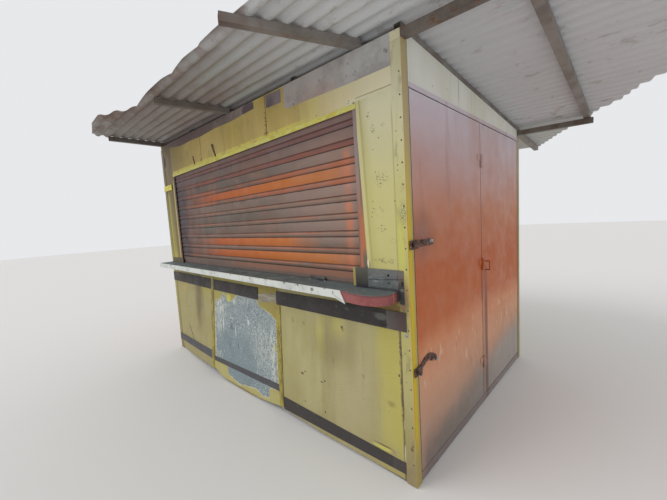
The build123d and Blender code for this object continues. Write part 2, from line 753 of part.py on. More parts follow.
# Counter
wall_face = -half_depth - weld_gap
counter_front = -half_depth - counter_out
counter_left = -half_width + counter_left_gap
counter_split = half_width - end_width
counter_right = half_width - counter_right_gap
plate_end = counter_split + end_start - weld_gap
inner_plate_left = -half_width + angle_front + apron_side_gap
with BuildPart() as counter_plate:
    with BuildSketch(Plane.XY.offset(counter_top - counter_thick)):
        for x0, x1, y0, y1 in ((counter_left, plate_end, counter_front, wall_face),
                               (inner_plate_left, plate_end, wall_face, frame_front),
                               (-jamb_inner, jamb_inner, frame_front, frame_front + tube)):
            with Locations(((x0 + x1) / 2, (y0 + y1) / 2)):
                Rectangle(x1 - x0, y1 - y0)
    extrude(amount=counter_thick)
save(counter_plate, "counter_plate")

with BuildPart() as counter_edge:
    foot = counter_top - edge_height
    corners = ((counter_left, foot), (counter_split - edge_fold, foot),
               (counter_split + edge_fold, foot - edge_drop), (counter_split, counter_top),
               (counter_left, counter_top))
    extrude(outline_on(corners, front_plane(counter_front)), amount=edge_thick)
save(counter_edge, "counter_edge")

end_left = counter_split + end_start
end_back = counter_front + seam_gap
end_root = (counter_split + end_meet, end_back)
end_plan = (end_side, end_corner, end_front, end_bow)
rounded = [(counter_right - aside, counter_front - out) for aside, out in end_plan]
with BuildPart() as counter_end:
    with BuildSketch(Plane.XY.offset(counter_top - end_height)) as end_outline:
        with BuildLine():
            Polyline(end_root, (end_left, end_back), (end_left, wall_face),
                     (counter_right, wall_face), rounded[0])
            ThreePointArc(*rounded[:3])
            ThreePointArc(*rounded[2:], end_root)
        make_face()
    extrude(amount=end_height)
    with BuildSketch(Plane.XY.offset(counter_top - end_height)):
        add(end_outline.sketch)
        offset(amount=-end_wall, mode=Mode.REPLACE)
    extrude(amount=end_height - end_wall, mode=Mode.SUBTRACT)
save(counter_end, "counter_end")

upstand_foot = counter_top + seat_gap
with BuildPart() as counter_upstands:
    x0, x1 = half_width - upstand_right_start, half_width - upstand_right_gap
    leg_x, upstand_top = counter_right + upstand_leg_gap, counter_top + upstand_right_height
    right = ((x0, upstand_foot), (leg_x, upstand_foot), (leg_x, upstand_leg_foot),
             (x1, upstand_leg_foot), (x1, upstand_top), (x0, upstand_top))
    extrude(outline_on(right, front_plane(wall_face)), amount=upstand_thick)
    with BuildSketch(front_plane(wall_face)):
        with Locations((half_width - upstand_hole_x, counter_top + upstand_hole_z)):
            Circle(upstand_hole_radius)
    extrude(amount=upstand_thick, mode=Mode.SUBTRACT)
    left = box_corners(-half_width + upstand_left_gap, -half_width + upstand_left_start,
                       upstand_foot, counter_top + upstand_left_height)
    extrude(outline_on(left, front_plane(wall_face)), amount=upstand_thick)
save(counter_upstands, "counter_upstands")

with BuildPart() as counter_brackets:
    for x in (-jamb_x, left_upright_x + bracket_from_seam, right_upright_x - bracket_from_seam,
              half_width - bracket_last):
        plate_foot = counter_top - counter_thick
        bracket_low = apron_top + apron_rise + bracket_foot
        back_low = skin_front - lean(x, bracket_low) - seam_gap
        corners = ((skin_front - plate_gap, plate_foot), (counter_front + bracket_nose, plate_foot),
                   (back_low, bracket_low))
        extrude(outline_on(corners, side_plane(x)), amount=bracket_thick)
save(counter_brackets, "counter_brackets")

# Roller shutter: guides, slats that hang one in the next, and the bottom bar
guide_foot = counter_top + weld_gap
guide_inner = half_opening + guide_width - guide_depth
guide_outer = half_opening + guide_width
curtain_y = frame_front + guide_across / 2
slat_half = guide_outer - guide_wall - slat_end_gap
slat_count = int((guide_top - slat_start) / slat_pitch)
with BuildPart() as shutter_guides:
    for sx in (-1, 1):
        with BuildSketch(Plane.XY.offset(guide_foot)):
            with Locations((sx * (guide_inner + guide_outer) / 2, curtain_y)):
                Rectangle(guide_depth, guide_across)
            with Locations((sx * (guide_inner + guide_outer - 2 * guide_wall) / 2, curtain_y)):
                Rectangle(guide_depth, guide_across - 2 * guide_wall, mode=Mode.SUBTRACT)
        extrude(amount=guide_top - guide_foot)
save(shutter_guides, "shutter_guides")

roll_height = slat_pitch - slat_face
with BuildPart() as shutter_slats:
    for k in range(slat_count):
        z = slat_start + k * slat_pitch
        z1, z2 = z + roll_height, z + slat_pitch - slat_gap
        with BuildSketch(side_plane(-slat_half)):
            with BuildLine():
                for y in (curtain_y, curtain_y + slat_thick):
                    ThreePointArc((y, z), (y - roll_bow, (z + z1) / 2), (y, z1))
                    ThreePointArc((y, z1), (y - slat_bow, (z1 + z2) / 2), (y, z2))
                Line((curtain_y, z), (curtain_y + slat_thick, z))
                Line((curtain_y, z2), (curtain_y + slat_thick, z2))
            make_face()
        extrude(amount=2 * slat_half)
save(shutter_slats, "shutter_slats")

with BuildPart() as shutter_bottom_bar:
    flange, web = bar_flange / 2, bar_web / 2
    z0, z1 = guide_foot, slat_start - slat_gap
    corners = ((curtain_y - flange, z0), (curtain_y + flange, z0), (curtain_y + flange, z0 + bar_web),
               (curtain_y + web, z0 + bar_web), (curtain_y + web, z1), (curtain_y - web, z1),
               (curtain_y - web, z0 + bar_web), (curtain_y - flange, z0 + bar_web))
    extrude(outline_on(corners, side_plane(-slat_half)), amount=2 * slat_half)
save(shutter_bottom_bar, "shutter_bottom_bar")

# Roof: tubes over the top rails, and lapped corrugated sheets laid along the front
arm_end = -half_depth + arm_inset
rafter_front = arm_end + tube * fall_back + arm_end_gap
rafter_ends = [(share * half_width, half_depth + rafter_reach) for share in rafter_shares]
rafter_ends.append((end_rafter_x, half_depth + end_rafter_reach))
with BuildPart() as roof_rafters:
    for x, rear_end in rafter_ends:
        ends = tuple((x, y, rafter_z(x, y) + tube_upright / 2) for y in (rafter_front, rear_end))
        extrude(tube_section(*ends, tube, tube_wall), amount=tube_length(*ends))
save(roof_rafters, "roof_rafters")

arm_lines = [(tip * half_width, root * half_width, arm_out) for tip, root in arm_shares[:2]]
arm_lines.append((arm_shares[2][0] * half_width, arm_shares[2][1] * half_width, long_arm_out))
arm_lines.append((end_rafter_x, end_rafter_x, arm_out))
with BuildPart() as roof_arms:
    for tip_x, root_x, out in arm_lines:
        tip_y = -half_depth - out
        ends = ((tip_x, tip_y, rafter_z(tip_x, tip_y) + tube / 2),
                (root_x, arm_end, rafter_z(root_x, -half_depth) + tube / 2))
        extrude(tube_section(*ends, tube, tube_wall), amount=tube_length(*ends))
save(roof_arms, "roof_arms")

roof_left = -half_width - roof_left_out
roof_right = half_width + roof_right_out
roof_run = depth + rear_out
course_depth = roof_run / roof_courses
sheet_pitch = course_depth / waves_per_sheet
roof_corners = [(roof_left, -half_depth + roof_run)]
roof_corners += [(half_width + out, -half_depth + share * roof_run) for out, share in rear_edge]
roof_corners.append((roof_right, -half_depth - front_out))
roof_corners += [(share * half_width, -half_depth - out) for share, out in front_edge]
roof_corners.append((roof_left, -half_depth - front_left_out))
with BuildPart() as roof_outline:
    extrude(outline_on(roof_corners, Plane.XY), amount=2 * roof_height)


def corrugation(first, waves, plane):
    """Section of a sheet: arcs up and down along the plane's x, thickened upwards."""
    with BuildSketch(plane) as section:
        with BuildLine():
            for up in (0, sheet_thick):
                for half_wave in range(2 * waves):
                    s = first + half_wave * sheet_pitch / 2
                    swing = sheet_wave if half_wave % 2 == 0 else -sheet_wave
                    ThreePointArc((s, sheet_wave + up), (s + sheet_pitch / 4, sheet_wave + swing + up),
                                  (s + sheet_pitch / 2, sheet_wave + up))
            last = first + waves * sheet_pitch
            Line((first, sheet_wave), (first, sheet_wave + sheet_thick))
            Line((last, sheet_wave), (last, sheet_wave + sheet_thick))
        make_face()
    return section.sketch


sheet_start = roof_left - roof_left_out
sheet_length = roof_right - sheet_start + roof_left_out
along = Vector(1, 0, -fall_right).normalized()
back_up = Vector(fall_right, fall_back, 1).normalized()
left_edge = (sheet_start, -half_depth, roof_z(sheet_start, -half_depth))
front_section = Plane(origin=left_edge, x_dir=(0, 1, 0), z_dir=along)
back_section = Plane(origin=left_edge, x_dir=back_up.cross(along), z_dir=along)

with BuildPart() as roof_sheet_front:
    extrude(corrugation(-course_depth - seam_gap, waves_per_sheet, front_section), amount=sheet_length)
    add(roof_outline.part, mode=Mode.INTERSECT)
save(roof_sheet_front, "roof_sheet_front")

for course in range(roof_courses):
    with BuildPart() as roof_sheet:
        lap = 1 if course < roof_courses - 1 else 0
        rise = (course % 2) * (sheet_thick + lap_gap)
        raised = Plane(origin=back_section.origin + back_up * rise, x_dir=back_section.x_dir, z_dir=along)
        extrude(corrugation(seam_gap + course * course_depth, waves_per_sheet + lap, raised),
                amount=sheet_length)
        add(roof_outline.part, mode=Mode.INTERSECT)
    save(roof_sheet, "roof_sheet_" + str(course + 1))
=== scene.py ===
# %% [markdown]
# # A weathered street kiosk
# The kiosk is a hollow box of thin steel sheet on a welded frame, with a roller shutter over a
# counter, a hinged leaf on the right side and a corrugated roof that reaches far out.
# Its solids come ready made. This script gives each of them a finish, adds the small pieces that
# a solid model leaves out, such as rivets and screws, and sets up the light and the camera.

# %% The solids, and the box they fill
import math

import bpy
import numpy as np
from mathutils import Matrix, Vector


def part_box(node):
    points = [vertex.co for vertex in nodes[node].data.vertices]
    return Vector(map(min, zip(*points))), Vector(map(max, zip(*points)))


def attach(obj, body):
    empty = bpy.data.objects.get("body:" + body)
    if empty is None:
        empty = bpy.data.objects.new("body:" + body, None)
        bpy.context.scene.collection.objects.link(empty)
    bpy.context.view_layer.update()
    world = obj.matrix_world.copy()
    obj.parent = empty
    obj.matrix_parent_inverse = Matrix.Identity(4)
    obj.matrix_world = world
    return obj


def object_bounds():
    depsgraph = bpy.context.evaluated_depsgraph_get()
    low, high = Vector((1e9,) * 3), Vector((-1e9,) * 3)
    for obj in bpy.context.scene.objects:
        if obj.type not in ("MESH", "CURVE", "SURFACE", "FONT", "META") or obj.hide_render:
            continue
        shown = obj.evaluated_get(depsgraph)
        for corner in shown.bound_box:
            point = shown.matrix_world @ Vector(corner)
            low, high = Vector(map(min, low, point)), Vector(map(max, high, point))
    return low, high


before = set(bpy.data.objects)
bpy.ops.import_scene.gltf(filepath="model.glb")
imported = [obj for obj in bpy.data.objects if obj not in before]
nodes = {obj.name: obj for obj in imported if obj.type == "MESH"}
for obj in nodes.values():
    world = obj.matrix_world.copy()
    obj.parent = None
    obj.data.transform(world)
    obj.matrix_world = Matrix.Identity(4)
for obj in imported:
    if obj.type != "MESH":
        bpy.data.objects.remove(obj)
cad_box = [list(corner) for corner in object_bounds()]
print("solids:", len(nodes), "box:", cad_box)

# %% [markdown]
# ## Light, floor and camera
# A finish is easiest to judge in plain light. The world is an even pale sky, so that a colour comes
# out about as it is written, and one wide sun from the front left gives the folds and the
# corrugations some shape. The floor is a pale disc that carries the shadow.

# %% World, sun and floor
SKY = (0.80, 0.81, 0.83, 1.0)
SKY_STRENGTH = 0.80
SUN_STRENGTH = 1.1
SUN_SPREAD = math.radians(40.0)
SUN_TURN = (math.radians(52.0), 0.0, math.radians(-38.0))
FLOOR_RADIUS, FLOOR_SIDES, FLOOR_DROP = 30.0, 64, 0.002
FLOOR_COLOUR, FLOOR_ROUGHNESS = (0.70, 0.69, 0.68, 1.0), 0.9


def put(name, data):
    """An object with this data, in the scene."""
    made = bpy.data.objects.new(name, data)
    bpy.context.scene.collection.objects.link(made)
    return made


world = bpy.data.worlds.new("pale_sky")
bpy.context.scene.world = world
world.use_nodes = True
add, link = world.node_tree.nodes.new, world.node_tree.links.new
sky, seen = world.node_tree.nodes["Background"], add("ShaderNodeBackground")
sky.inputs["Strength"].default_value = SKY_STRENGTH
sky.inputs["Color"].default_value = (1.0, 1.0, 1.0, 1.0)
seen.inputs["Color"].default_value = SKY
ray, pick = add("ShaderNodeLightPath"), add("ShaderNodeMixShader")
reached = ray.outputs["Is Camera Ray"]
for kind in ("Is Glossy Ray", "Is Transmission Ray"):
    either = add("ShaderNodeMath")
    either.operation = "MAXIMUM"
    link(reached, either.inputs[0])
    link(ray.outputs[kind], either.inputs[1])
    reached = either.outputs[0]
for source, target in zip((reached, sky.outputs[0], seen.outputs[0]), pick.inputs):
    link(source, target)
link(pick.outputs[0], world.node_tree.nodes["World Output"].inputs[0])

sun_data = bpy.data.lights.new("wide_sun", "SUN")
sun_data.energy = SUN_STRENGTH
sun_data.angle = SUN_SPREAD
put("wide_sun", sun_data).rotation_euler = SUN_TURN

turns = np.linspace(0.0, 2.0 * math.pi, FLOOR_SIDES, endpoint=False)
rim = np.stack([np.cos(turns), np.sin(turns), np.zeros(FLOOR_SIDES)], axis=1) * FLOOR_RADIUS
floor_mesh = bpy.data.meshes.new("pale_floor")
floor_mesh.from_pydata((rim - (0.0, 0.0, FLOOR_DROP)).tolist(), [], [tuple(range(FLOOR_SIDES))])
floor_finish = bpy.data.materials.new("pale_floor")
floor_finish.use_nodes = True
floor_shader = floor_finish.node_tree.nodes["Principled BSDF"]
floor_shader.inputs["Base Color"].default_value = FLOOR_COLOUR
floor_shader.inputs["Roughness"].default_value = FLOOR_ROUGHNESS
floor_mesh.materials.append(floor_finish)
put("pale_floor", floor_mesh)
print("light and floor set up")

# %% [markdown]
# ## The camera
# The camera stands near the right front corner at chest height, with a wide lens, a little tilted.
# Its axes are written out from three angles: the way it looks, then a roll about that line.

# %% Camera
EYE = Vector((2.401, -2.347, 1.432))
YAW, PITCH, ROLL = -0.7709, -0.0953, -0.0603
FOCAL_LENGTH, PICTURE_WIDTH = 314.586, 667.0
SENSOR = 36.0

ahead = Vector((math.sin(YAW) * math.cos(PITCH), math.cos(YAW) * math.cos(PITCH), math.sin(PITCH)))
level_right = Vector((math.cos(YAW), -math.sin(YAW), 0.0))
level_up = level_right.cross(ahead)
right = math.cos(ROLL) * level_right + math.sin(ROLL) * level_up
up = -math.sin(ROLL) * level_right + math.cos(ROLL) * level_up
lens = bpy.data.cameras.new("chest_height")
lens.sensor_width = SENSOR
lens.lens = FOCAL_LENGTH / PICTURE_WIDTH * SENSOR
camera = put("chest_height", lens)
facing = Matrix((right, up, -ahead)).transposed().to_4x4()
camera.matrix_world = Matrix.Translation(EYE) @ facing
bpy.context.scene.camera = camera
bpy.context.scene.view_settings.view_transform = "Standard"
print("camera lens:", round(lens.lens, 2), "mm")

# %% [markdown]
# ## How a finish is built
# Old paint is a stack of layers: the coat, its fading, the dirt that ran down it, the scratches, and
# the rust that comes through. Each layer here is a colour laid on through a mask between 0 and 1.
# A mask could be a painted picture, but then it would belong to one side only. These come from
# noise and from the place on the kiosk in metres, so a stain stays where it is from every side.

# %% A finish and the steps it is built from
def tone(colour):
    """A colour as a screen shows it, 0 to 255, turned into linear numbers by the sRGB curve."""
    share = np.array(colour) / 255.0
    linear = np.where(share <= 0.04045, share / 12.92, ((share + 0.055) / 1.055) ** 2.4)
    return (*linear.tolist(), 1.0)


class Finish:
    """A material in the making. Each step adds nodes and returns the socket they end in."""

    def __init__(self, name, metallic=0.0):
        self.material = bpy.data.materials.new(name)
        self.material.use_nodes = True
        self.tree = self.material.node_tree
        self.shader = self.tree.nodes["Principled BSDF"]
        self.shader.inputs["Metallic"].default_value = metallic
        self.place = self.add("ShaderNodeTexCoord").outputs["Object"]
        self.x, self.y, self.z = self.add("ShaderNodeSeparateXYZ", Vector=self.place).outputs
        self.colour = None

    def feed(self, socket, value):
        """Links a socket to an input, or sets the input to a number or colour."""
        if isinstance(value, bpy.types.NodeSocket):
            self.tree.links.new(value, socket)
        else:
            socket.default_value = value

    def add(self, kind, settings=(), **inputs):
        """A node with its settings and inputs. An underscore in a name stands for a space."""
        node = self.tree.nodes.new(kind)
        for key, value in settings:
            setattr(node, key, value)
        for key, value in inputs.items():
            self.feed(node.inputs[key.replace("_", " ")], value)
        return node

    def sum(self, operation, *values):
        """One step of arithmetic, such as ADD or MULTIPLY, on sockets, numbers or masks' rows."""
        node = self.add("ShaderNodeMath", [("operation", operation)])
        for socket, value in zip(node.inputs, values):
            self.feed(socket, self.mask(value))
        return node.outputs[0]

    def times(self, *masks):
        """The product of several masks, each a socket or a row that mask() reads."""
        result = self.mask(masks[0])
        for factor in masks[1:]:
            result = self.sum("MULTIPLY", result, factor)
        return result

    def mask(self, row):
        """A mask from a row, such as ("x", low, high), ("cloud", low, high, scale) or ("oval", ...).

        A row with an axis or a socket steps from 0 at low to 1 at high. A third number makes it a
        band from low to high that fades over so much on both sides, and two more are what wobble()
        takes. A row with a word calls that step with the numbers after it."""
        if not isinstance(row, tuple):
            return row
        kind, *numbers = row
        if kind in ("cloud", "dots", "oval", "spot"):
            return getattr(self, kind)(*numbers)
        low, high, soft, grain, amount = (*numbers, 0.0, 0.0, 0.0)[:5]
        along = getattr(self, kind) if isinstance(kind, str) else kind
        along = self.wobble(along, grain, amount) if grain else along
        return self.between(along, low, high, soft) if soft else self.rise(along, low, high)

    def rise(self, value, low, high):
        """0 below low, 1 above high, and a smooth step between. It falls where high is below low."""
        step = self.add("ShaderNodeMapRange", [("interpolation_type", "SMOOTHSTEP")],
                        Value=value, From_Min=low, From_Max=high)
        return step.outputs[0]

    def noise(self, scale, stretch=(1.0, 1.0, 1.0), detail=4.0, shift=0.0):
        """Cloudy noise around 0.5, so many clouds a metre, drawn out where stretch is under 1."""
        spread = self.add("ShaderNodeMapping", Vector=self.place, Scale=stretch,
                          Location=(shift, shift * 0.7, -shift))
        cloud = self.add("ShaderNodeTexNoise", Vector=spread.outputs[0], Scale=scale, Detail=detail,
                         Roughness=0.6)
        return cloud.outputs[0]

    def cloud(self, low, high, scale, detail=4.0, shift=0.0, up=1.0, across=1.0):
        """Noise as a mask, 0 below low and 1 above high, drawn out where up or across is under 1."""
        return self.rise(self.noise(scale, (across, 1.0, up), detail, shift), low, high)

    def dots(self, scale, size, shift=0.0):
        """Round spots, 1 inside and 0 outside, one to a cell, so many cells a metre."""
        spread = self.add("ShaderNodeMapping", Vector=self.place, Location=(shift, shift, shift))
        cells = self.add("ShaderNodeTexVoronoi", Vector=spread.outputs[0], Scale=scale)
        return self.rise(cells.outputs["Distance"], size, size * 0.6)

    def wobble(self, value, scale, amount):
        """A coordinate shaken by noise, which makes the edge of a mask ragged."""
        shaken = self.sum("SUBTRACT", self.noise(scale, detail=6.0), 0.5)
        return self.sum("MULTIPLY_ADD", shaken, amount, value)

    def between(self, value, low, high, soft):
        """1 between low and high, fading over soft on both sides."""
        return self.times(self.rise(value, low - soft, low + soft),
                          self.rise(value, high + soft, high - soft))

    def spot(self, centre, reach, soft=0.3, ragged=0.3, grain=30.0):
        """An oval round a centre, 1 inside, with a shaken rim. A reach of 0 leaves an axis out."""
        share = [1.0 / length if length else 0.0 for length in reach]
        local = self.add("ShaderNodeMapping", Vector=self.place, Scale=share,
                         Location=[-middle * part for middle, part in zip(centre, share)])
        far = self.add("ShaderNodeVectorMath", [("operation", "LENGTH")])
        self.feed(far.inputs[0], local.outputs[0])
        return self.rise(self.wobble(far.outputs["Value"], grain, ragged), 1.0 + soft, 1.0 - soft)

    def oval(self, x, z, wide, tall, *rim):
        """A spot as the front shows it, at any depth."""
        return self.spot((x, 0.0, z), (wide, 0.0, tall), *rim)

    def line(self, across, start, end):
        """The value at across on the straight line from start to end, both (across, value)."""
        slope = (end[1] - start[1]) / (end[0] - start[0])
        return self.sum("MULTIPLY_ADD", across, slope, start[1] - slope * start[0])

    def trace(self, across, *points):
        """The height at across on the broken line through the points, both as shares of 1."""
        node = self.add("ShaderNodeFloatCurve")
        curve = node.mapping.curves[0]
        for index, (place, height) in enumerate(points):
            if index < 2:
                curve.points[index].location = (place, height)
            else:
                curve.points.new(place, height)
        for point in curve.points:
            point.handle_type = "VECTOR"
        node.mapping.update()
        self.feed(node.inputs["Value"], across)
        return node.outputs[0]

    def ramp(self, value, *stops):
        """A colour that runs through stops (value, red, green, blue), in rising order."""
        first, last = stops[0][0], stops[-1][0]
        share = self.add("ShaderNodeMapRange", Value=value, From_Min=first, From_Max=last)
        node = self.add("ShaderNodeValToRGB", Fac=share.outputs[0])
        band = node.color_ramp
        for index, (place, *colour) in enumerate(stops):
            if index < 2:
                stop = band.elements[index]
                stop.position = (place - first) / (last - first)
            else:
                stop = band.elements.new((place - first) / (last - first))
            stop.color = tone(colour)
        return node.outputs[0]

    def coat(self, first, second, share):
        """The first coat: two tones of one colour, mixed by a share."""
        self.colour = tone(first)
        self.lay(second, 1.0, share)

    def tint(self, colour):
        """A plain colour, a socket, or a row with an axis and the stops of a ramp along it."""
        if isinstance(colour, bpy.types.NodeSocket):
            return colour
        if isinstance(colour[0], str):
            return self.ramp(getattr(self, colour[0]), *colour[1:])
        return tone(colour)

    def lay(self, colour, strength, *masks):
        """A colour laid over what is there, at most as strong as told, where all the masks are 1."""
        mask = self.times(*masks)
        mixer = self.add("ShaderNodeMix", [("data_type", "RGBA")])
        self.feed(mixer.inputs[0], self.times(mask, strength) if strength < 1.0 else mask)
        self.feed(mixer.inputs[6], self.colour)
        self.feed(mixer.inputs[7], self.tint(colour))
        self.colour = mixer.outputs[2]

    def paint(self, *layers):
        """Layers from the lowest up, each a row of what lay() takes."""
        for layer in layers:
            self.lay(*layer)

    def stains(self, *rows):
        """Ovals on the front: x, z, half width, half height, soft, ragged, grain, colour, strength."""
        for *shape, colour, strength in rows:
            self.lay(colour, strength, ("oval", *shape))

    def dents(self, grain=0.12):
        """Height of a thin sheet: broad shallow dents, plus the fine grain of old paint."""
        broad, fine = self.noise(2.2, detail=2.0), self.noise(140.0, detail=3.0)
        return self.sum("MULTIPLY_ADD", fine, grain, broad)

    def close(self, matt, glossy, depth, *names, height=None):
        """Wires in the colour, a roughness from matt to glossy and a bump, and dresses solids in it."""
        height = height or self.dents()
        self.feed(self.shader.inputs["Base Color"], self.colour)
        gloss = self.add("ShaderNodeMapRange", Value=self.noise(9.0), From_Min=0.3, From_Max=0.7,
                         To_Min=glossy, To_Max=matt)
        self.feed(self.shader.inputs["Roughness"], gloss.outputs[0])
        bump = self.add("ShaderNodeBump", Strength=1.0, Distance=depth, Height=height)
        self.feed(self.shader.inputs["Normal"], bump.outputs[0])
        for name in names:
            for place in nodes[name].material_slots:
                place.material = self.material
        return self.material


print("finishes can be built")

# %% [markdown]
# ## Yellow paint
# The front was painted yellow long ago. The coat has faded in tall soft streaks, dirt has run down
# it, and rust freckles come through. One coat for all would look flat, so every group of sheets
# starts from its own tones and gets the stains of its own place.

# %% The layers that every yellow sheet shares
RUST = (96, 62, 40)
GRIME = (118, 104, 80)


def old_yellow(name, pale, deep, bright):
    """A coat of pale and deep yellow in broad clouds, with tall streaks of a brighter one."""
    finish = Finish(name)
    finish.coat(pale, deep, ("cloud", 0.38, 0.64, 2, 5, 0, 0.4))
    finish.lay(bright, 0.6, ("cloud", 0.54, 0.72, 3.4, 5, 3, 0.18))
    return finish


def weather(finish, runs, freckles):
    """Dirt that ran down the sheet, and rust that comes through it in freckles and single spots."""
    finish.lay(GRIME, runs, ("cloud", 0.56, 0.78, 15, 4, 7, 0.1))
    gate = finish.cloud(0.54, 0.66, 5, 4, 1)
    finish.paint(
        (RUST, freckles, ("dots", 46, 0.15), gate),
        (RUST, freckles, ("dots", 13, 0.07, 4)))


# %% Header and jambs
SEAMS = (-0.5696, 0.5056)
LEFT_JAMB, RIGHT_JAMB = -1.32, 1.265

upper = old_yellow("yellow_header", (202, 182, 112), (184, 160, 92), (206, 194, 96))
# Towards the right the header is painted paler, almost white: a painted haze of sun glare over the
# yellow.
upper.paint(
    ((134, 116, 76), 0.85, ("x", -0.7, -1.4)),
    ((232, 227, 200), 0.8, ("x", 0.7, 1.6)))
# On the right jamb the yellow pales towards the top: that paleness is a painted haze of sun glare.
low_right = upper.times(("x", RIGHT_JAMB - 0.02, RIGHT_JAMB), ("z", 2.075, 2.055))
upper.lay(("z", (1.1, 186, 179, 102), (1.55, 192, 186, 116), (1.8, 198, 193, 146),
    (2.06, 218, 214, 182)), 0.85, low_right)
low_left = upper.rise(upper.x, LEFT_JAMB, LEFT_JAMB - 0.02)
upper.paint(
    (("z", (1.1, 188, 176, 84), (1.2, 150, 138, 80), (1.5, 132, 118, 72), (1.85, 112, 98, 66),
        (2.3, 120, 104, 78)), 0.92, low_left),
    ((104, 84, 60), 0.5, low_left, ("cloud", 0.54, 0.64, 9, 6, 0, 0.25), ("z", 1.84, 1.7)))
weather(upper, 0.25, 0.75)
upper.paint(
    (GRIME, 0.35, ("cloud", 0.56, 0.74, 2.6, 5, 9)),
    ((108, 94, 50), 0.7, low_left, ("x", -1.44, -1.4), ("z", 2, 1.9)),
    ((206, 196, 138), 0.7, ("x", -1.345, -1.325, 0.004), ("z", 2, 1.9)),
    ((172, 164, 84), 0.7, ("x", -1.56, -1.49, 0.02, 6, 0.03), ("z", 1.9, 1.8)))
upper.stains(
    (-1.539, 2.2, 0.046, 0.064, 0.15, 0.3, 30, (74, 62, 66), 1))
print("stains on the header so far:", len(upper.tree.nodes), "nodes")

# %% Seams of the header, and the marks on the right jamb
for seam in SEAMS:
    upper.paint(
        ((104, 88, 54), 0.8, ("x", seam - 0.0035, seam + 0.0035, 0.0015, 12, 0.006),
            ("z", 2.04, 2.05)),
        (RUST, 0.8, ("oval", seam - 0.012, 2.06, 0.026, 0.018, 0.6, 1.6, 70)),
        (RUST, 0.7, ("oval", seam - 0.014, 2.12, 0.02, 0.1, 0.3, 0.3),
            ("cloud", 0.56, 0.62, 90, 3)))
jamb_join = upper.times(("x", 1.3, 1.33), ("z", 2.057, 2.063, 0.002, 9, 0.008))
upper.paint(
    ((160, 136, 92), 0.55, jamb_join),
    ((190, 192, 152), 0.4, ("oval", 1.42, 2.035, 0.14, 0.022, 0.6, 0.8),
        ("cloud", 0.44, 0.6, 120, 6)))
spill = upper.times(("z", 2.07, 2.056, 0, 9, 0.022), ("x", LEFT_JAMB, LEFT_JAMB + 0.02),
    ("x", 1.1, 0.7), ("cloud", 0.36, 0.46, 30, 7))
upper.lay((214, 204, 96), 0.8, spill)

# %% Rust at the two cuts, and chips on the right jamb
CUTS = ((-0.335, 0.026, 2.163, -0.289, 0.01, 2.046), (-0.756, 0.017, 2.138, -0.727, 0.012, 2.05))
for top_x, top_half, top_z, foot_x, foot_half, foot_z in CUTS:
    off = [upper.sum("SUBTRACT", upper.wobble(upper.x, 60, 0.01), upper.line(upper.z,
        (foot_z, foot_x + way * foot_half), (top_z, top_x + way * top_half))) for way in (-1, 1)]
    upper.lay((98, 66, 54), 0.9, (off[0], -0.002, 0.003), (off[1], 0.002, -0.003),
        ("z", foot_z, top_z, 0.003))
CHIPS = ((1.452, 1.63, 0.04, 0.022), (1.446, 1.598, 0.01, 0.012), (1.525, 1.306, 0.022, 0.01),
    (1.45, 1.203, 0.062, 0.012), (1.391, 1.953, 0.012, 0.016), (1.418, 1.882, 0.012, 0.02),
    (1.48, 1.887, 0.008, 0.008), (1.45, 1.374, 0.022, 0.014))
for mark_x, mark_z, wide, tall in CHIPS:
    chips = upper.times(("oval", mark_x, mark_z, wide, tall, 0.8, 0.8, 60),
        ("cloud", 0.53, 0.58, 75, 5, mark_z, 1.6))
    upper.lay((96, 84, 64), 0.75, chips)
upper.lay((150, 142, 110), 0.5, ("oval", 1.435, 1.47, 0.03, 0.03, 0.8, 0.8),
    ("cloud", 0.5, 0.6, 60))

# %% Left margin of the right jamb
margin = upper.sum("SUBTRACT", upper.wobble(upper.x, 25, 0.004),
    upper.line(upper.z, (1.19, 1.343), (1.57, 1.327)))
by_guide = upper.times(("x", 1.29, 1.3), ("z", 2.05, 2.04))
upper.paint(
    ((176, 168, 96), 0.4, by_guide, (margin, 0.1, 0.03)),
    ((206, 198, 144), 0.6, by_guide, (margin, 0.002, 0.022, 0.004)),
    ((152, 142, 80), 0.5, by_guide, (margin, 0.026, 0.036, 0.006)),
    (("z", (1.1, 86, 82, 78), (1.22, 106, 92, 84), (1.28, 176, 100, 68), (1.42, 168, 104, 76),
        (1.52, 122, 98, 90), (1.8, 114, 98, 98)), 0.95, by_guide, (margin, 0.002, -0.002)),
    ((150, 140, 76), 0.5, ("x", 1.531, 1.541, 0.003), ("z", 2, 1.9)))
upper.stains(
    (1.346, 1.186, 0.006, 0.02, 0.3, 0.8, 60, (222, 216, 190), 0.85),
    (1.358, 1.172, 0.003, 0.03, 0.4, 0.8, 60, (60, 52, 40), 0.85),
    (1.474, 1.13, 0.02, 0.022, 0.2, 0.2, 30, (26, 24, 24), 1))
upper.close(0.85, 0.6, 0.012, "header_sheet_left", "header_sheet_centre", "header_sheet_right",
    "jamb_sheets")

rear = old_yellow("yellow_rear", (196, 182, 116), (176, 158, 96), (200, 192, 96))
weather(rear, 0.45, 0.6)
rear.lay(GRIME, 0.55, ("z", 0.4, 0, 0, 3, 0.5))
rear.close(0.85, 0.6, 0.014, "rear_wall_sheets")

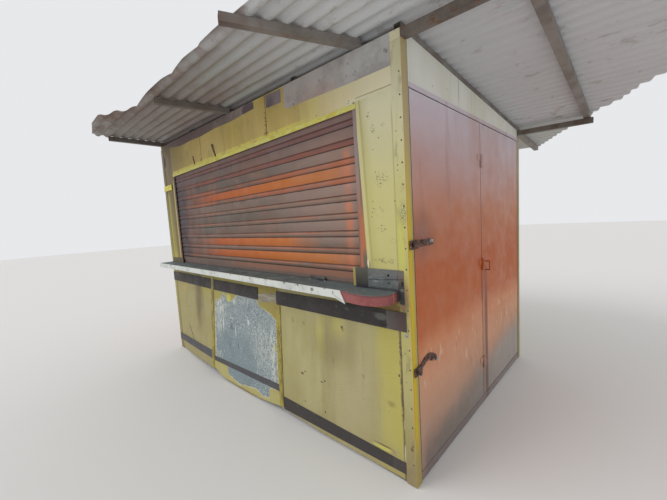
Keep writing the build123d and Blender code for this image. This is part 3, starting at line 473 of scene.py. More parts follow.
# %% Lower sheets
lower = old_yellow("yellow_lower", (174, 166, 120), (160, 151, 100), (180, 171, 92))
lower.paint(
    ((152, 142, 94), 0.75, ("x", -0.53, -0.56)),
    ((136, 125, 80), 0.5, ("cloud", 0.5, 0.68, 6, 4, 2, 0.12)))
lower.stains(
    (-1.3, 0.84, 0.08, 0.1, 0.9, 0.8, 8, (190, 154, 80), 0.5),
    (-0.91, 0.72, 0.08, 0.28, 0.9, 0.8, 6, (104, 92, 60), 0.8),
    (-0.7, 0.86, 0.1, 0.1, 0.9, 0.5, 6, (166, 156, 70), 0.7))
lower.lay((182, 172, 84), 0.75, ("x", 1.38, 1.56, 0.05, 4, 0.05))
lower.stains(
    (1.2, 0.4, 0.17, 0.34, 0.9, 0.5, 6, (176, 165, 130), 0.6),
    (0.93, 0.68, 0.03, 0.1, 0.95, 0.9, 14, (192, 182, 88), 0.6),
    (1.09, 0.78, 0.05, 0.06, 0.95, 0.9, 14, (190, 180, 90), 0.5),
    (1.02, 0.62, 0.14, 0.1, 0.9, 0.8, 6, (134, 124, 80), 0.6),
    (1.19, 0.72, 0.04, 0.2, 0.95, 0.9, 10, (140, 130, 88), 0.45))
weather(lower, 0.2, 0.3)
foot_dirt = lower.rise(lower.wobble(lower.z, 3, 0.4), 0.3, 0)
lower.lay((150, 138, 100), 0.5, foot_dirt)
edge_dirt = lower.times(("x", 1.526, 1.542, 0.006, 14, 0.014), ("z", 0.96, 0.84))
lower.lay((96, 84, 60), 0.8, edge_dirt)
print("lower sheets:", len(lower.tree.nodes), "nodes")

# %% The crease, and the dark marks on the lower sheets
crease = lower.sum("SUBTRACT", lower.wobble(lower.z, 10, 0.012),
    lower.line(lower.x, (-1.243, 0.348), (-1.093, 0.182)))
crease_reach = lower.between(lower.x, -1.243, -1.075, 0.01)
# The dark line along the crease is painted shade in the fold, and the pale line just above it is a
# painted highlight.
lower.paint(
    ((62, 52, 38), 0.95, (crease, -0.016, 0.008, 0.006), crease_reach),
    ((202, 192, 140), 0.5, (crease, 0.008, 0.02, 0.005), crease_reach))
MARKS = ((0.738, 0.38, 0.014, 0.008), (0.766, 0.399, 0.007, 0.006), (0.925, 0.374, 0.014, 0.004),
    (0.956, 0.389, 0.008, 0.006), (0.756, 0.182, 0.005, 0.005), (0.948, 0.175, 0.005, 0.009),
    (1.124, 0.782, 0.009, 0.009), (1.516, 0.595, 0.005, 0.008))
FAINT_MARKS = ((1.04, 0.55, 0.006, 0.02), (1.276, 0.519, 0.008, 0.012), (0.773, 0.743, 0.01, 0.014),
    (0.656, 0.744, 0.01, 0.018), (-0.82, 0.64, 0.012, 0.018), (-1.22, 0.56, 0.012, 0.014),
    (1.13, 0.768, 0.01, 0.012), (1.46, 0.416, 0.022, 0.016))
lower.stains(*((*mark, 0.8, 0.9, 60, (118, 104, 62), 0.5) for mark in FAINT_MARKS))
lower.stains(*((*mark, 0.5, 1.2, 110, (58, 50, 38), 0.85) for mark in MARKS))
# Low on the right sheet: a tongue of yellow where the band is scraped, with a dark line just above it
# that is painted shadow. The two white streaks by the seam near the post are painted highlight on the
# sheet's edge.
lower.stains(
    (1.39, 0.131, 0.066, 0.01, 0.3, 0.4, 30, (196, 188, 92), 0.9),
    (1.402, 0.148, 0.056, 0.005, 0.5, 0.8, 40, (92, 76, 56), 0.8),
    (1.462, 0.134, 0.018, 0.014, 0.6, 0.6, 30, (150, 130, 112), 0.6),
    (1.535, 0.16, 0.004, 0.05, 0.3, 0.6, 40, (206, 196, 186), 0.8),
    (1.537, 0.325, 0.003, 0.03, 0.3, 0.6, 40, (206, 196, 186), 0.7))
blotch = lower.times(("x", 1.522, 1.538, 0.005, 40, 0.012), ("z", 0.35, 0.84, 0.06))
lower.lay((84, 70, 54), 0.8, blotch, ("cloud", 0.42, 0.56, 30))
rusty_top = lower.times(("z", 0.93, 0.95), ("x", 1.1, 1.35), ("cloud", 0.28, 0.46, 14, 6))
lower.lay((122, 94, 56), 0.85, rusty_top)
lower_height = lower.sum("MULTIPLY_ADD", lower.times((crease, -0.02, 0.02, 0.02), crease_reach),
    -0.5, lower.dents())
lower.close(0.85, 0.55, 0.016, "front_sheet_left", "front_sheet_right", height=lower_height)

# %% [markdown]
# ## The middle sheet
# A large patch of the yellow has flaked off the middle sheet. It shows blue-grey primer, densely
# flecked with white towards the top and the right, with whitish filler along its rim. Its outline is
# a broken line, given as points, because no noise would give that arched top.

# %% Peeled middle sheet
PRIMER = (125, 139, 144)
PRIMER_DARK = (92, 102, 106)
FLECK = (198, 205, 202)
SHEET_LEFT, SHEET_SPAN = -0.6, 1.2
PATCH_TOP = ((-0.52, 0.66), (-0.505, 0.735), (-0.411, 0.756), (-0.342, 0.824), (-0.312, 0.8),
    (-0.257, 0.748), (-0.2, 0.764), (-0.15, 0.8), (-0.095, 0.836), (0.185, 0.836), (0.251, 0.776),
    (0.334, 0.756), (0.4, 0.734), (0.452, 0.7))
PATCH_FOOT = ((-0.53, 0.3), (-0.515, 0.2), (-0.3, 0.155), (-0.28, 0.075), (-0.1, 0.04),
    (0.16, 0.085), (0.24, 0.045), (0.335, 0.06), (0.346, 0.15), (0.437, 0.16))


def peeled(name):
    """Yellow paint with the large flaked patch: the region between the two broken lines."""
    finish = old_yellow(name, (164, 154, 88), (152, 138, 72), (172, 160, 70))
    finish.lay((178, 170, 112), 0.8, ("z", 0.2, 0.1))
    weather(finish, 0.3, 0.5)
    across = finish.sum("DIVIDE",
        finish.sum("SUBTRACT", finish.wobble(finish.x, 20, 0.02), SHEET_LEFT), SHEET_SPAN)
    edges = [[((x - SHEET_LEFT) / SHEET_SPAN, z) for x, z in points]
             for points in (PATCH_TOP, PATCH_FOOT)]
    top, foot = (finish.trace(across, *points) for points in edges)
    height = finish.wobble(finish.z, 26, 0.035)
    under, over = finish.sum("SUBTRACT", top, height), finish.sum("SUBTRACT", height, foot)
    side = finish.wobble(finish.x, 18, 0.02)
    left_reach, right_reach = finish.sum("ADD", side, 0.518), finish.sum("SUBTRACT", 0.452, side)
    depth = finish.sum("MINIMUM", finish.sum("MINIMUM", under, over),
        finish.sum("MINIMUM", left_reach, right_reach))
    patch = finish.rise(depth, 0, 0.004)
    finish.paint(
        ((204, 200, 180), 0.75, (depth, -0.012, -0.002), ("cloud", 0.42, 0.52, 60, 6)),
        (PRIMER, 1, patch),
        ((118, 130, 136), 0.7, patch, ("cloud", 0.42, 0.6, 7, 6, 2)))
    busy = finish.sum("MAXIMUM", ("z", 0.36, 0.56, 0, 5, 0.25), ("x", 0.05, 0.24, 0, 6, 0.2))
    finish.paint(
        (PRIMER_DARK, 0.85, patch, busy, ("cloud", 0.51, 0.57, 150, 8, 2, 0.8)),
        (FLECK, 0.9, patch, busy, ("cloud", 0.535, 0.58, 165, 7, 6, 0.75)),
        (FLECK, 0.5, patch, ("cloud", 0.6, 0.64, 60, 6, 11)))
    return finish, patch, depth


mid, patch, depth = peeled("yellow_peeled")
filler = mid.cloud(0.46, 0.53, 60, 8, 5, 0.4)
FILLER = ((0.402, 0.42, 0.034, 0.24, 0.95), (-0.43, 0.7, 0.1, 0.1, 0.95),
    (-0.15, 0.765, 0.04, 0.03, 0.8), (-0.51, 0.45, 0.01, 0.34, 0.95),
    (-0.43, 0.53, 0.07, 0.12, 0.6), (0.26, 0.45, 0.14, 0.16, 0.5), (-0.44, 0.235, 0.05, 0.03, 0.8),
    (0.04, 0.8, 0.2, 0.03, 0.5))
for middle_x, middle_z, wide, tall, strength in FILLER:
    near = mid.oval(middle_x, middle_z, wide, tall, 0.7, 0.8, 14)
    mid.lay((194, 197, 187), strength, patch, near, filler)
DARK_STROKE = (72, 80, 84)
mid.stains(
    (-0.141, 0.507, 0.006, 0.048, 0.5, 0.8, 40, FLECK, 0.9),
    (0.068, 0.616, 0.014, 0.026, 0.6, 1, 40, FLECK, 0.85),
    (-0.357, 0.535, 0.01, 0.055, 0.6, 1.4, 40, FLECK, 0.85),
    (-0.104, 0.392, 0.005, 0.034, 0.5, 0.6, 40, DARK_STROKE, 0.85),
    (-0.24, 0.35, 0.007, 0.026, 0.6, 0.8, 40, DARK_STROKE, 0.6),
    (-0.212, 0.53, 0.022, 0.026, 0.8, 1.2, 40, (84, 92, 98), 0.7),
    (-0.255, 0.788, 0.034, 0.032, 0.6, 0.8, 30, (196, 190, 84), 0.9),
    (0.42, 0.49, 0.012, 0.03, 0.6, 0.8, 30, (190, 186, 116), 0.8))
mid.lay((110, 84, 52), 0.7, ("z", 0.028, 0.008, 0, 12, 0.02))
mid_height = mid.sum("MULTIPLY_ADD", patch, -0.12, mid.dents(0.2))
mid.close(0.9, 0.65, 0.012, "front_sheet_centre", height=mid_height)
print("middle sheet:", len(mid.tree.nodes), "nodes")

# %% [markdown]
# ## Posts and bright strips
# The corner angles are pale yellow to the front and a stronger yellow round the side. Near the corner
# the side leg carries a painted highlight where it catches the light, and higher up it is painted paler
# as a reflection of the sky. The front of the left angle is darkened with painted shade. The side leg
# is worn to olive along the edge by the leaf. The same strong yellow is on the lip over the shutter and
# on the strips over the seams.

# %% Corner posts
SIDE_FACE_X = 1.5985
LEG_EDGE = -0.946

post = Finish("yellow_post")
post.colour = post.ramp(post.z, (0, 142, 126, 92), (0.22, 152, 140, 92), (0.5, 172, 164, 108),
    (0.85, 182, 174, 108), (1.1, 180, 173, 106), (1.6, 194, 187, 124), (2, 210, 205, 172))
# On the left post (x below 0) the dark olive-brown, darkest high up, is painted shade.
post.paint(
    (("z", (0, 140, 128, 84), (1.1, 164, 154, 84), (1.3, 128, 118, 70), (2.3, 112, 98, 76)), 1,
        ("x", 0, -0.5)),
    ((178, 170, 92), 0.4, ("cloud", 0.44, 0.62, 5, 5, 3, 0.2)),
    (GRIME, 0.4, ("cloud", 0.52, 0.66, 22, 6, 0, 0.3)))
post.stains(
    (1.562, 1.03, 0.024, 0.09, 0.8, 0.9, 20, (130, 98, 66), 0.75),
    (1.579, 0.21, 0.008, 0.011, 0.6, 1, 40, (96, 70, 44), 0.85),
    (1.562, 1.275, 0.02, 0.175, 0.8, 0.5, 12, (196, 194, 92), 0.75),
    (1.566, 1.02, 0.026, 0.08, 0.9, 0.8, 20, (140, 112, 82), 0.8))
post.lay((104, 90, 82), 0.8, ("y", 0.9, 0.94), ("x", 1.59, 1.6))
chipped = post.oval(1.582, 1.448, 0.02, 0.05, 0.6, 0.8)
post.paint(
    ((96, 92, 76), 0.85, chipped, ("cloud", 0.49, 0.54, 150)),
    ((204, 202, 180), 0.6, chipped, ("cloud", 0.57, 0.6, 130, 4, 5)))
side_leg = post.sum("MAXIMUM", ("x", SIDE_FACE_X - 0.001, SIDE_FACE_X),
    ("x", 0.001 - SIDE_FACE_X, -SIDE_FACE_X))
# The side leg: its own stronger yellow, with a painted highlight in the bright band near the corner.
leg_tone_and_highlight = post.ramp(post.y, (-1, 196, 158, 40), (-0.984, 206, 178, 24), (-0.966, 192, 170, 52),
    (-0.952, 166, 152, 92), (-0.94, 150, 136, 90))
post.paint(
    (leg_tone_and_highlight, 1, side_leg),
    ((154, 140, 92), 0.8, side_leg, ("z", 0.32, 0.12, 0, 6, 0.05)),
    # Paler side leg higher up: a painted reflection of the sky.
    ((178, 166, 140), 0.7, side_leg, ("z", 1.35, 1.95)),
    ((172, 128, 50), 0.6, side_leg, ("cloud", 0.6, 0.7, 12, 5, 8, 0.4)))
worn = post.between(post.wobble(post.y, 30, 0.012), LEG_EDGE, -0.93, 0.003)
post.paint(
    ((60, 52, 46), 0.9, side_leg, worn, ("cloud", 0.36, 0.46, 45, 4, 0, 0.6)),
    (RUST, 0.7, ("dots", 22, 0.06, 4)))
post.close(0.75, 0.45, 0.004, "corner_posts")

# %% Strips and lip
trim = Finish("yellow_strips")
trim.coat((212, 202, 84), (198, 182, 72), ("cloud", 0.4, 0.65, 6))
trim.paint(
    ((208, 210, 126), 0.7, ("z", 1.9, 2), ("cloud", 0.44, 0.56, 26, 7)),
    ((190, 168, 104), 0.6, ("x", -0.9, -1.4), ("z", 1.97, 1.99)),
    ((150, 136, 58), 0.9, ("z", 1, 0.9)),
    ((108, 92, 46), 0.75, ("z", 1, 0.9), ("cloud", 0.46, 0.56, 22, 6, 0, 0.4)),
    (RUST, 0.65, ("cloud", 0.6, 0.66, 60, 6)))
trim.close(0.7, 0.45, 0.004, "front_cover_strips", "header_lip", "jamb_bar")
print("yellow finishes:", len(bpy.data.materials))

# %% [markdown]
# ## Dark bands
# The board under the counter and the bands near the ground are dark brown-grey paint, rubbed paler
# in a few places. Near its right end the board is scuffed to grey, and a tongue of yellow shows
# where the lower band has been scraped.

# %% Dark board under the counter
band = Finish("dark_band")
band.coat((54, 48, 47), (45, 40, 40), ("cloud", 0.4, 0.65, 3))
band.paint(
    (("x", (1.45, 98, 94, 90), (1.55, 84, 66, 62)), 0.9, ("x", 1.452, 1.458, 0, 30, 0.01)),
    ((60, 55, 54), 0.8, ("z", 0.5, 0.4)),
    ((80, 79, 84), 0.75, ("z", 0.5, 0.4), ("x", 0.55, 0.45)))
band.stains(
    (1.418, 0.903, 0.038, 0.02, 0.4, 0.8, 20, (98, 100, 94), 0.85),
    (1.395, 0.925, 0.04, 0.006, 0.6, 0.8, 30, (34, 30, 30), 0.8),
    (1.43, 0.862, 0.03, 0.012, 0.5, 0.8, 30, (36, 30, 30), 0.85),
    (1.26, 0.93, 0.1, 0.01, 0.8, 1, 20, (36, 32, 30), 0.7))
band.paint(
    ((108, 98, 88), 0.7, ("cloud", 0.63, 0.7, 50, 6)),
    ((100, 92, 80), 0.7, ("x", -1.3, -1.45), ("cloud", 0.5, 0.6, 18, 6)),
    ((92, 84, 78), 0.5, ("cloud", 0.62, 0.7, 9, 5, 3, 3)))
band.close(0.8, 0.55, 0.004, "counter_apron", "kick_bands")

# %% [markdown]
# ## The side
# The leaf and the fixed panel are orange-red. Towards the top the colour runs to a pale mauve-grey,
# which is a painted haze of sun glare. The coat is strongest at mid height, rubbed pale lower down, and
# grey with dust in a wedge that rises towards the back.
# Those four zones come from one colour that runs with height, shaken so that no edge is straight.

# %% Orange side
def orange(name):
    """The colour that runs with height, pale mauve-grey at the top as painted haze of sun glare, with
    scrapes, rust spots and soft clouds.
    """
    finish = Finish(name)
    height = finish.wobble(finish.wobble(finish.z, 1.6, 0.25), 7, 0.06)
    # From about 1.5 m up the ramp runs to a pale mauve-grey: painted haze of sun glare.
    finish.colour = finish.ramp(height, (0, 136, 112, 102), (0.28, 176, 142, 122),
        (0.52, 206, 152, 120), (0.7, 206, 136, 96), (0.82, 186, 96, 44), (1.12, 180, 88, 32),
        (1.42, 188, 120, 88), (1.72, 192, 158, 156), (2.05, 212, 202, 212))
    finish.lay((186, 122, 84), 0.3, ("cloud", 0.44, 0.66, 2.4, 5, 5, 0.35))
    low = finish.between(finish.z, 0.38, 0.7, 0.08)
    finish.paint(
        ((222, 190, 160), 0.7, ("cloud", 0.61, 0.67, 26, 6, 0, 0.35), low),
        ((150, 84, 56), 0.4, ("cloud", 0.62, 0.68, 26, 5, 9, 0.25), low),
        ((150, 104, 90), 0.35, ("cloud", 0.58, 0.7, 9, 5, 13, 0.1), ("z", 0.9, 1.3)),
        (RUST, 0.6, ("dots", 15, 0.05)))
    return finish


side = orange("orange_side")
side.lay((120, 84, 74), 0.55, ("spot", (0, -0.87, 1.33), (0, 0.13, 0.1), 0.9, 0.6, 10))
foot_line = side.line(side.y, (-0.95, 0.18), (0.95, 0.39))
dust = side.rise(side.sum("SUBTRACT", side.wobble(side.z, 3, 0.22), foot_line), 0.12, -0.12)
side.paint(
    (("y", (-1, 112, 101, 95), (-0.2, 134, 127, 120), (0.4, 162, 155, 149)), 0.88, dust),
    ((190, 146, 120), 0.5, ("y", -0.86, -0.94), ("z", 0.9, 0.3)))
mullion = side.times(("z", 1.2, 0.8), ("x", 0, 0.5))
# By the mullion: a lighter strip, then a dark brown strip that is painted shade beside it, and a dark
# gap line along the leaf's edge.
side.paint(
    ((150, 104, 90), 0.4, ("y", 0, 0.055, 0.012, 6, 0.01), mullion),
    ((104, 66, 58), 0.75, ("y", 0.062, 0.118, 0.01, 6, 0.01), mullion),
    ((96, 54, 40), 0.8, ("y", -0.018, -0.008, 0.004), ("z", 0.8, 1.01, 0.02), mullion),
    ((122, 110, 112), 0.6, ("z", 0.062, 0.05)))
side.close(0.72, 0.42, 0.014, "door_sheet", "side_fixed_panel", "side_trim", "left_wall_sheets",
    "door_hinges", "hinge_pins", "panel_pull")

# The side header is near white: a painted haze of sun glare in place of the sheet's own colour.
over = old_yellow("side_header_painted_haze", (232, 233, 226), (222, 221, 206), (228, 228, 208))
weather(over, 0.4, 0.5)
over.close(0.85, 0.6, 0.01, "side_header_sheet")

# %% [markdown]
# ## The shutter
# Each slat is a flat face over a narrow roll, with a dark joint on either side of the roll. Grey-brown
# grime lies on them slat by slat. Three faces, two low and one high up, still show their orange. So the
# finish first works out which slat a point is on, and each slat gets its own share of grime.

# %% Shutter
SLAT_FOOT, SLAT_PITCH, ROLL_SHARE = 1.128, 0.1013, 0.336
ORANGE_SLATS = ((0, -0.55, 1.22), (1, -0.6, 0.8), (5, -0.72, 1.28))
JOINT = (44, 32, 30)

slats = Finish("shutter_paint")
count = slats.sum("DIVIDE", slats.sum("SUBTRACT", slats.z, SLAT_FOOT), SLAT_PITCH)
which, turn = slats.sum("FLOOR", count), slats.sum("FRACT", count)
face = slats.rise(turn, ROLL_SHARE, ROLL_SHARE + 0.02)
own = slats.add("ShaderNodeTexWhiteNoise", [("noise_dimensions", "1D")], W=which).outputs["Value"]
slats.coat((118, 98, 86), (98, 86, 76), own)
slats.paint(
    ((138, 98, 78), 0.5, ("cloud", 0.44, 0.62, 2.6, 6, 1, 2.6)),
    ((96, 88, 80), 0.6, ("cloud", 0.48, 0.64, 4, 5, 8, 5)),
    ((160, 132, 120), 0.55, ("x", 0.2, 1.1), ("z", 1.25, 1.35)),
    ((142, 78, 56), 0.6, ("x", -1.08, -0.8, 0.1, 4, 0.25), ("cloud", 0.38, 0.6, 7, 3)))
for number, start, end in ORANGE_SLATS:
    foot = SLAT_FOOT + (number + ROLL_SHARE) * SLAT_PITCH
    glow = slats.times(("z", foot, SLAT_FOOT + (number + 1) * SLAT_PITCH, 0.001),
        ("x", start - 0.45, start + 0.3, 0, 3, 0.3), ("x", end + 0.2, end - 0.2, 0, 3, 0.3))
    slats.lay(("x", (-1, 140, 70, 42), (-0.3, 176, 86, 24), (0.5, 184, 100, 28), (1, 182, 110, 54),
        (1.3, 182, 118, 84)), 0.94, glow)
rolls = slats.sum("SUBTRACT", 1, face)
slats.paint(
    ((172, 92, 52), 0.75, rolls, ("z", 1.58, 1.6), ("cloud", 0.3, 0.6, 3, 4, 4)),
    ((104, 66, 68), 0.7, rolls, ("z", 1.82, 1.86)),
    ((126, 100, 84), 0.5, rolls, ("z", 1.6, 1.58)),
    # The narrow orange band in the upper part of each roll is a painted highlight on the roll.
    ((186, 96, 56), 0.55, (turn, ROLL_SHARE - 0.14, ROLL_SHARE - 0.05, 0.02),
        ("cloud", 0.4, 0.6, 2.5, 4, 7)),
    ((84, 62, 58), 0.5, ("x", -0.5, -1.05, 0, 5, 0.1)),
    ((62, 49, 54), 0.9, ("x", -0.98, -1.15, 0, 5, 0.08)),
    ((112, 86, 86), 0.6, ("z", 1.82, 1.98)))
print("slats so far:", len(slats.tree.nodes), "nodes")

# %% Joints, streak and the bottom bar
# The soft orange streak near the right guide, stronger on the faces than on the rolls, is a painted
# highlight.
streak = slats.times(("x", 1.195, 1.245, 0.02, 8, 0.02), ("z", 1.86, 1.76))
slats.paint(
    ((206, 118, 76), 0.75, streak, slats.sum("MULTIPLY_ADD", own, 0.5, 0.4),
        slats.sum("MULTIPLY_ADD", face, 0.7, 0.3)),
    ((112, 92, 84), 0.9, ("z", SLAT_FOOT, SLAT_FOOT - 0.006)))
bar_glow = slats.times(("z", 1.085, 1.125, 0.008, 8, 0.02), ("x", -0.5, 0.2))
slats.paint(
    ((160, 104, 76), 0.55, bar_glow),
    ((70, 68, 66), 0.7, ("z", 1.068, 1.06, 0, 6, 0.006)))
ragged_turn = slats.wobble(turn, 20, 0.03)
on_slats = slats.rise(slats.z, SLAT_FOOT - 0.004, SLAT_FOOT - 0.002)
slats.paint(
    (JOINT, 0.9, (ragged_turn, 0.94, 0.965), on_slats),
    (JOINT, 0.9, (turn, 0.03, 0.012)),
    ((88, 50, 34), 0.9, (ragged_turn, ROLL_SHARE - 0.05, ROLL_SHARE + 0.04, 0.018), on_slats),
    ((70, 50, 44), 0.7, ("dots", 12, 0.05, 2)))
slats.close(0.8, 0.5, 0.004, "shutter_slats", "shutter_bottom_bar")

# %% [markdown]
# ## Counter
# The counter's top is bare dark steel, greenish grey, with pale scratches in swirls. Its edge is
# white, chipped down to the metal, and the rounded end is a faded red with one yellow scratch.

# %% Counter steel and upstands
def worn_steel(name, light, dark):
    """Dull steel with swirled pale scratches, which are the edges of stretched noise."""
    finish = Finish(name)
    finish.shader.inputs["Specular IOR Level"].default_value = 0.3
    finish.coat(light, dark, ("cloud", 0.4, 0.62, 8, 6))
    swirl = finish.noise(9, (0.5, 1, 1), 5, 3)
    finish.paint(
        ((138, 146, 142), 0.7, (swirl, 0.495, 0.505, 0.006)),
        ((142, 150, 146), 0.8, ("cloud", 0.59, 0.66, 60, 6, 0, 1, 0.4)))
    return finish


top = worn_steel("counter_steel", (96, 107, 107), (80, 90, 90))
top.paint(
    ((62, 58, 54), 0.8, ("cloud", 0.62, 0.72, 12, 4, 5)),
    ((96, 110, 112), 0.6, ("x", 0.7, 1.2)))
top.close(0.75, 0.5, 0.003, "counter_plate")

stand = worn_steel("upstand_steel", (104, 108, 107), (90, 94, 94))
stand.paint(
    (("z", (1.056, 34, 34, 46), (1.072, 56, 52, 50), (1.11, 72, 70, 62), (1.16, 88, 87, 76)), 0.9,
        ("x", 1.352, 1.342)),
    ((172, 156, 86), 0.85, ("x", 1.262, 1.254)),
    ((78, 70, 68), 0.8, ("x", 0, -0.1)),
    (("z", (1, 64, 54, 50), (1.08, 62, 54, 54), (1.11, 110, 94, 88)), 0.9, ("x", 1.535, 1.538)))
mark = stand.sum("SUBTRACT", stand.wobble(stand.z, 12, 0.01),
    stand.line(stand.x, (1.347, 1.097), (1.536, 1.112)))
stand.lay((56, 56, 58), 0.75, (mark, -0.003, 0.003, 0.002), ("x", 1.34, 1.36))
stand.stains(
    (1.479, 1.088, 0.007, 0.005, 0.4, 0.8, 50, (34, 34, 38), 0.9),
    (1.534, 1.135, 0.003, 0.035, 0.4, 0.5, 40, (84, 58, 58), 0.9),
    (1.561, 1.093, 0.009, 0.013, 0.5, 1, 50, (30, 26, 26), 0.9),
    (1.558, 1.058, 0.01, 0.006, 0.5, 1.6, 80, (170, 168, 160), 0.8))
stand.paint(
    ((112, 112, 108), 0.5, ("z", 1.12, 1.14), ("x", 1.34, 1.36)),
    ((60, 66, 68), 0.7, ("x", 1.35, 1.36), ("z", 1.066, 1.06, 0, 20, 0.01)))
stand.close(0.8, 0.5, 0.003, "counter_upstands")

# %% White edge and red end
edge = Finish("white_edge")
edge.coat((208, 211, 206), (188, 192, 186), ("cloud", 0.42, 0.66, 9))
edge.paint(
    ((170, 170, 160), 0.6, ("cloud", 0.56, 0.66, 14, 6, 4, 0.4)),
    ((104, 96, 84), 0.9, ("cloud", 0.62, 0.655, 45, 7)))
top_rim = edge.times(("z", 1.046, 1.052), ("cloud", 0.6, 0.64, 24, 6, 7))
edge.lay((70, 72, 70), 0.85, top_rim)
edge.stains(
    (0.911, 1.05, 0.007, 0.006, 0.4, 1, 60, (70, 66, 58), 0.85),
    (1.043, 1.037, 0.012, 0.01, 0.5, 1.6, 80, (84, 84, 76), 0.75))
crack = edge.sum("SUBTRACT", edge.wobble(edge.z, 30, 0.004),
    edge.line(edge.x, (1.209, 1.029), (1.282, 0.999)))
edge.lay((104, 92, 66), 0.8, (crack, -0.0018, 0.0012, 0.0008), ("x", 1.2, 1.272, 0.006))
edge.close(0.75, 0.5, 0.003, "counter_edge")

red = Finish("red_end")
red.coat((146, 80, 78), (130, 66, 66), ("cloud", 0.4, 0.65, 12))
red.paint(
    ((78, 54, 58), 0.6, ("z", 1.045, 1.052, 0.002, 20, 0.003), ("x", 1.24, 1.3)),
    ((90, 100, 101), 1, ("z", 1.0525, 1.0535)),
    # Dark grey towards the wall: painted shade on the red end's side face.
    ((62, 54, 58), 0.9, ("y", -1.036, -1.024)),
    ((180, 140, 92), 0.8, ("y", -1.058, -1.053, 0.001, 20, 0.004), ("x", 1.53, 1.536)),
    ((38, 38, 52), 0.85, ("spot", (1.34, -1.01, 0), (0.06, 0.022, 0), 0.5, 0.8),
        ("z", 1.0525, 1.0535)),
    ((124, 134, 132), 0.5, (red.noise(9, (0.5, 1, 1), 5, 3), 0.49, 0.51, 0.006),
        ("z", 1.0525, 1.0535)),
    ((176, 140, 132), 0.8, ("cloud", 0.64, 0.7, 70, 6)))
red.close(0.7, 0.45, 0.003, "counter_end")

# %% [markdown]
# ## Bare and rusty steel
# Inside, the tubes have a thin brown-grey primer with rust at their joints. The hasps and staples are
# plain rusty iron, rubbed bright where they move, and the floor is worn smooth by feet.

# %% Frame, ironwork and floor
tube = Finish("frame_primer", metallic=0.1)
tube.coat((120, 112, 104), (100, 90, 82), ("cloud", 0.42, 0.6, 7, 6))
tube.paint(
    ((118, 76, 50), 0.85, ("cloud", 0.56, 0.66, 26, 7)),
    ((150, 140, 128), 0.6, ("cloud", 0.62, 0.68, 90, 4)))
tube.close(0.8, 0.5, 0.003, "base_rails", "floor_joists", "top_rails", "wall_posts", "door_mullion",
    "wall_rails", "door_frame", "counter_brackets")

roof_tube = Finish("roof_tubes", metallic=0.1)
roof_tube.coat((142, 136, 130), (122, 114, 108), ("cloud", 0.42, 0.6, 6, 6))
roof_tube.paint(
    ((130, 106, 90), 0.5, ("cloud", 0.54, 0.66, 16, 7)),
    ((104, 95, 90), 0.7, ("x", 0.4, -0.4)),
    ((100, 78, 70), 0.7, ("y", -1.5, -1.66)))
roof_tube.close(0.8, 0.5, 0.003, "roof_rafters", "roof_arms")

iron = Finish("rusty_iron", metallic=0.3)
iron.coat((112, 82, 70), (76, 56, 52), ("cloud", 0.4, 0.6, 30, 6))
iron.paint(
    ((166, 140, 128), 0.8, ("cloud", 0.56, 0.64, 70, 5)),
    ((58, 44, 44), 0.7, ("cloud", 0.6, 0.68, 24, 6, 5)))
rusty_iron = iron.close(0.85, 0.5, 0.0015, "hasp_upper", "hasp_lower", "staples",
    height=iron.noise(160))

guide = Finish("shutter_guide")
guide.coat((140, 106, 92), (112, 88, 80), ("cloud", 0.42, 0.6, 14, 6, 0, 0.4))
guide.paint(
    ((70, 54, 58), 0.8, ("x", 0, -0.5)),
    ((146, 130, 128), 0.85, ("x", 0.5, 1), ("z", 1.35, 1.6)),
    ((122, 84, 70), 0.6, ("z", 1.7, 1.3)),
    ((192, 112, 62), 0.65, ("x", 1.29, 1.303), ("z", 1.75, 1.35)))
guide.close(0.8, 0.5, 0.003, "shutter_guides")

tread = Finish("floor_steel", metallic=0.2)
tread.coat((104, 94, 86), (84, 68, 58), ("cloud", 0.42, 0.6, 4, 7))
tread.lay((132, 126, 120), 0.7, ("spot", (1, 0, 0), (0.7, 0.5, 0), 0.9, 0.6, 4))
tread.close(0.8, 0.45, 0.004, "floor_plate")

# %% [markdown]
# ## Roof
# The corrugated sheets are galvanised steel gone dull. Rust has spread in soft brown-mauve clouds
# over the middle, and pale streaks follow the waves. The old boards over the header are of the same
# dull sheet, browner on the left, with pinkish clouds on the right. Towards the right both are painted
# paler, a painted haze of sun glare.

# %% Roof sheets and the old sheets over the header
roof = Finish("roof_sheet", metallic=0.05)
roof.coat((160, 156, 152), (138, 133, 129), ("cloud", 0.38, 0.62, 1.6, 6, 0, 1, 0.5))
roof.paint(
    ((134, 121, 115), 0.75, ("cloud", 0.46, 0.62, 1.2, 6, 4, 1, 0.5)),
    ((166, 172, 165), 0.5, ("cloud", 0.54, 0.64, 5, 5, 9, 1, 0.14)),
    # Paler towards the right: a painted haze of sun glare.
    ((214, 217, 220), 0.85, ("x", 0.2, 1.5)),
    ((140, 124, 116), 0.5, ("spot", (-0.6, -1.35, 0), (0.7, 0.3, 0), 0.8, 0.6, 3)),
    ((126, 106, 92), 0.35, ("cloud", 0.58, 0.68, 14, 6, 0, 1, 0.5)))
edge_rust = roof.rise(roof.wobble(roof.y, 3, 0.2), -1.4, -1.62)
roof.lay((116, 84, 68), 0.7, edge_rust, ("cloud", 0.42, 0.58, 8, 6))
roof.close(0.8, 0.5, 0.002, "roof_sheet_front", "roof_sheet_1", "roof_sheet_2", "roof_sheet_3",
    "roof_sheet_4", height=roof.noise(50))

board = Finish("old_valance", metallic=0.05)
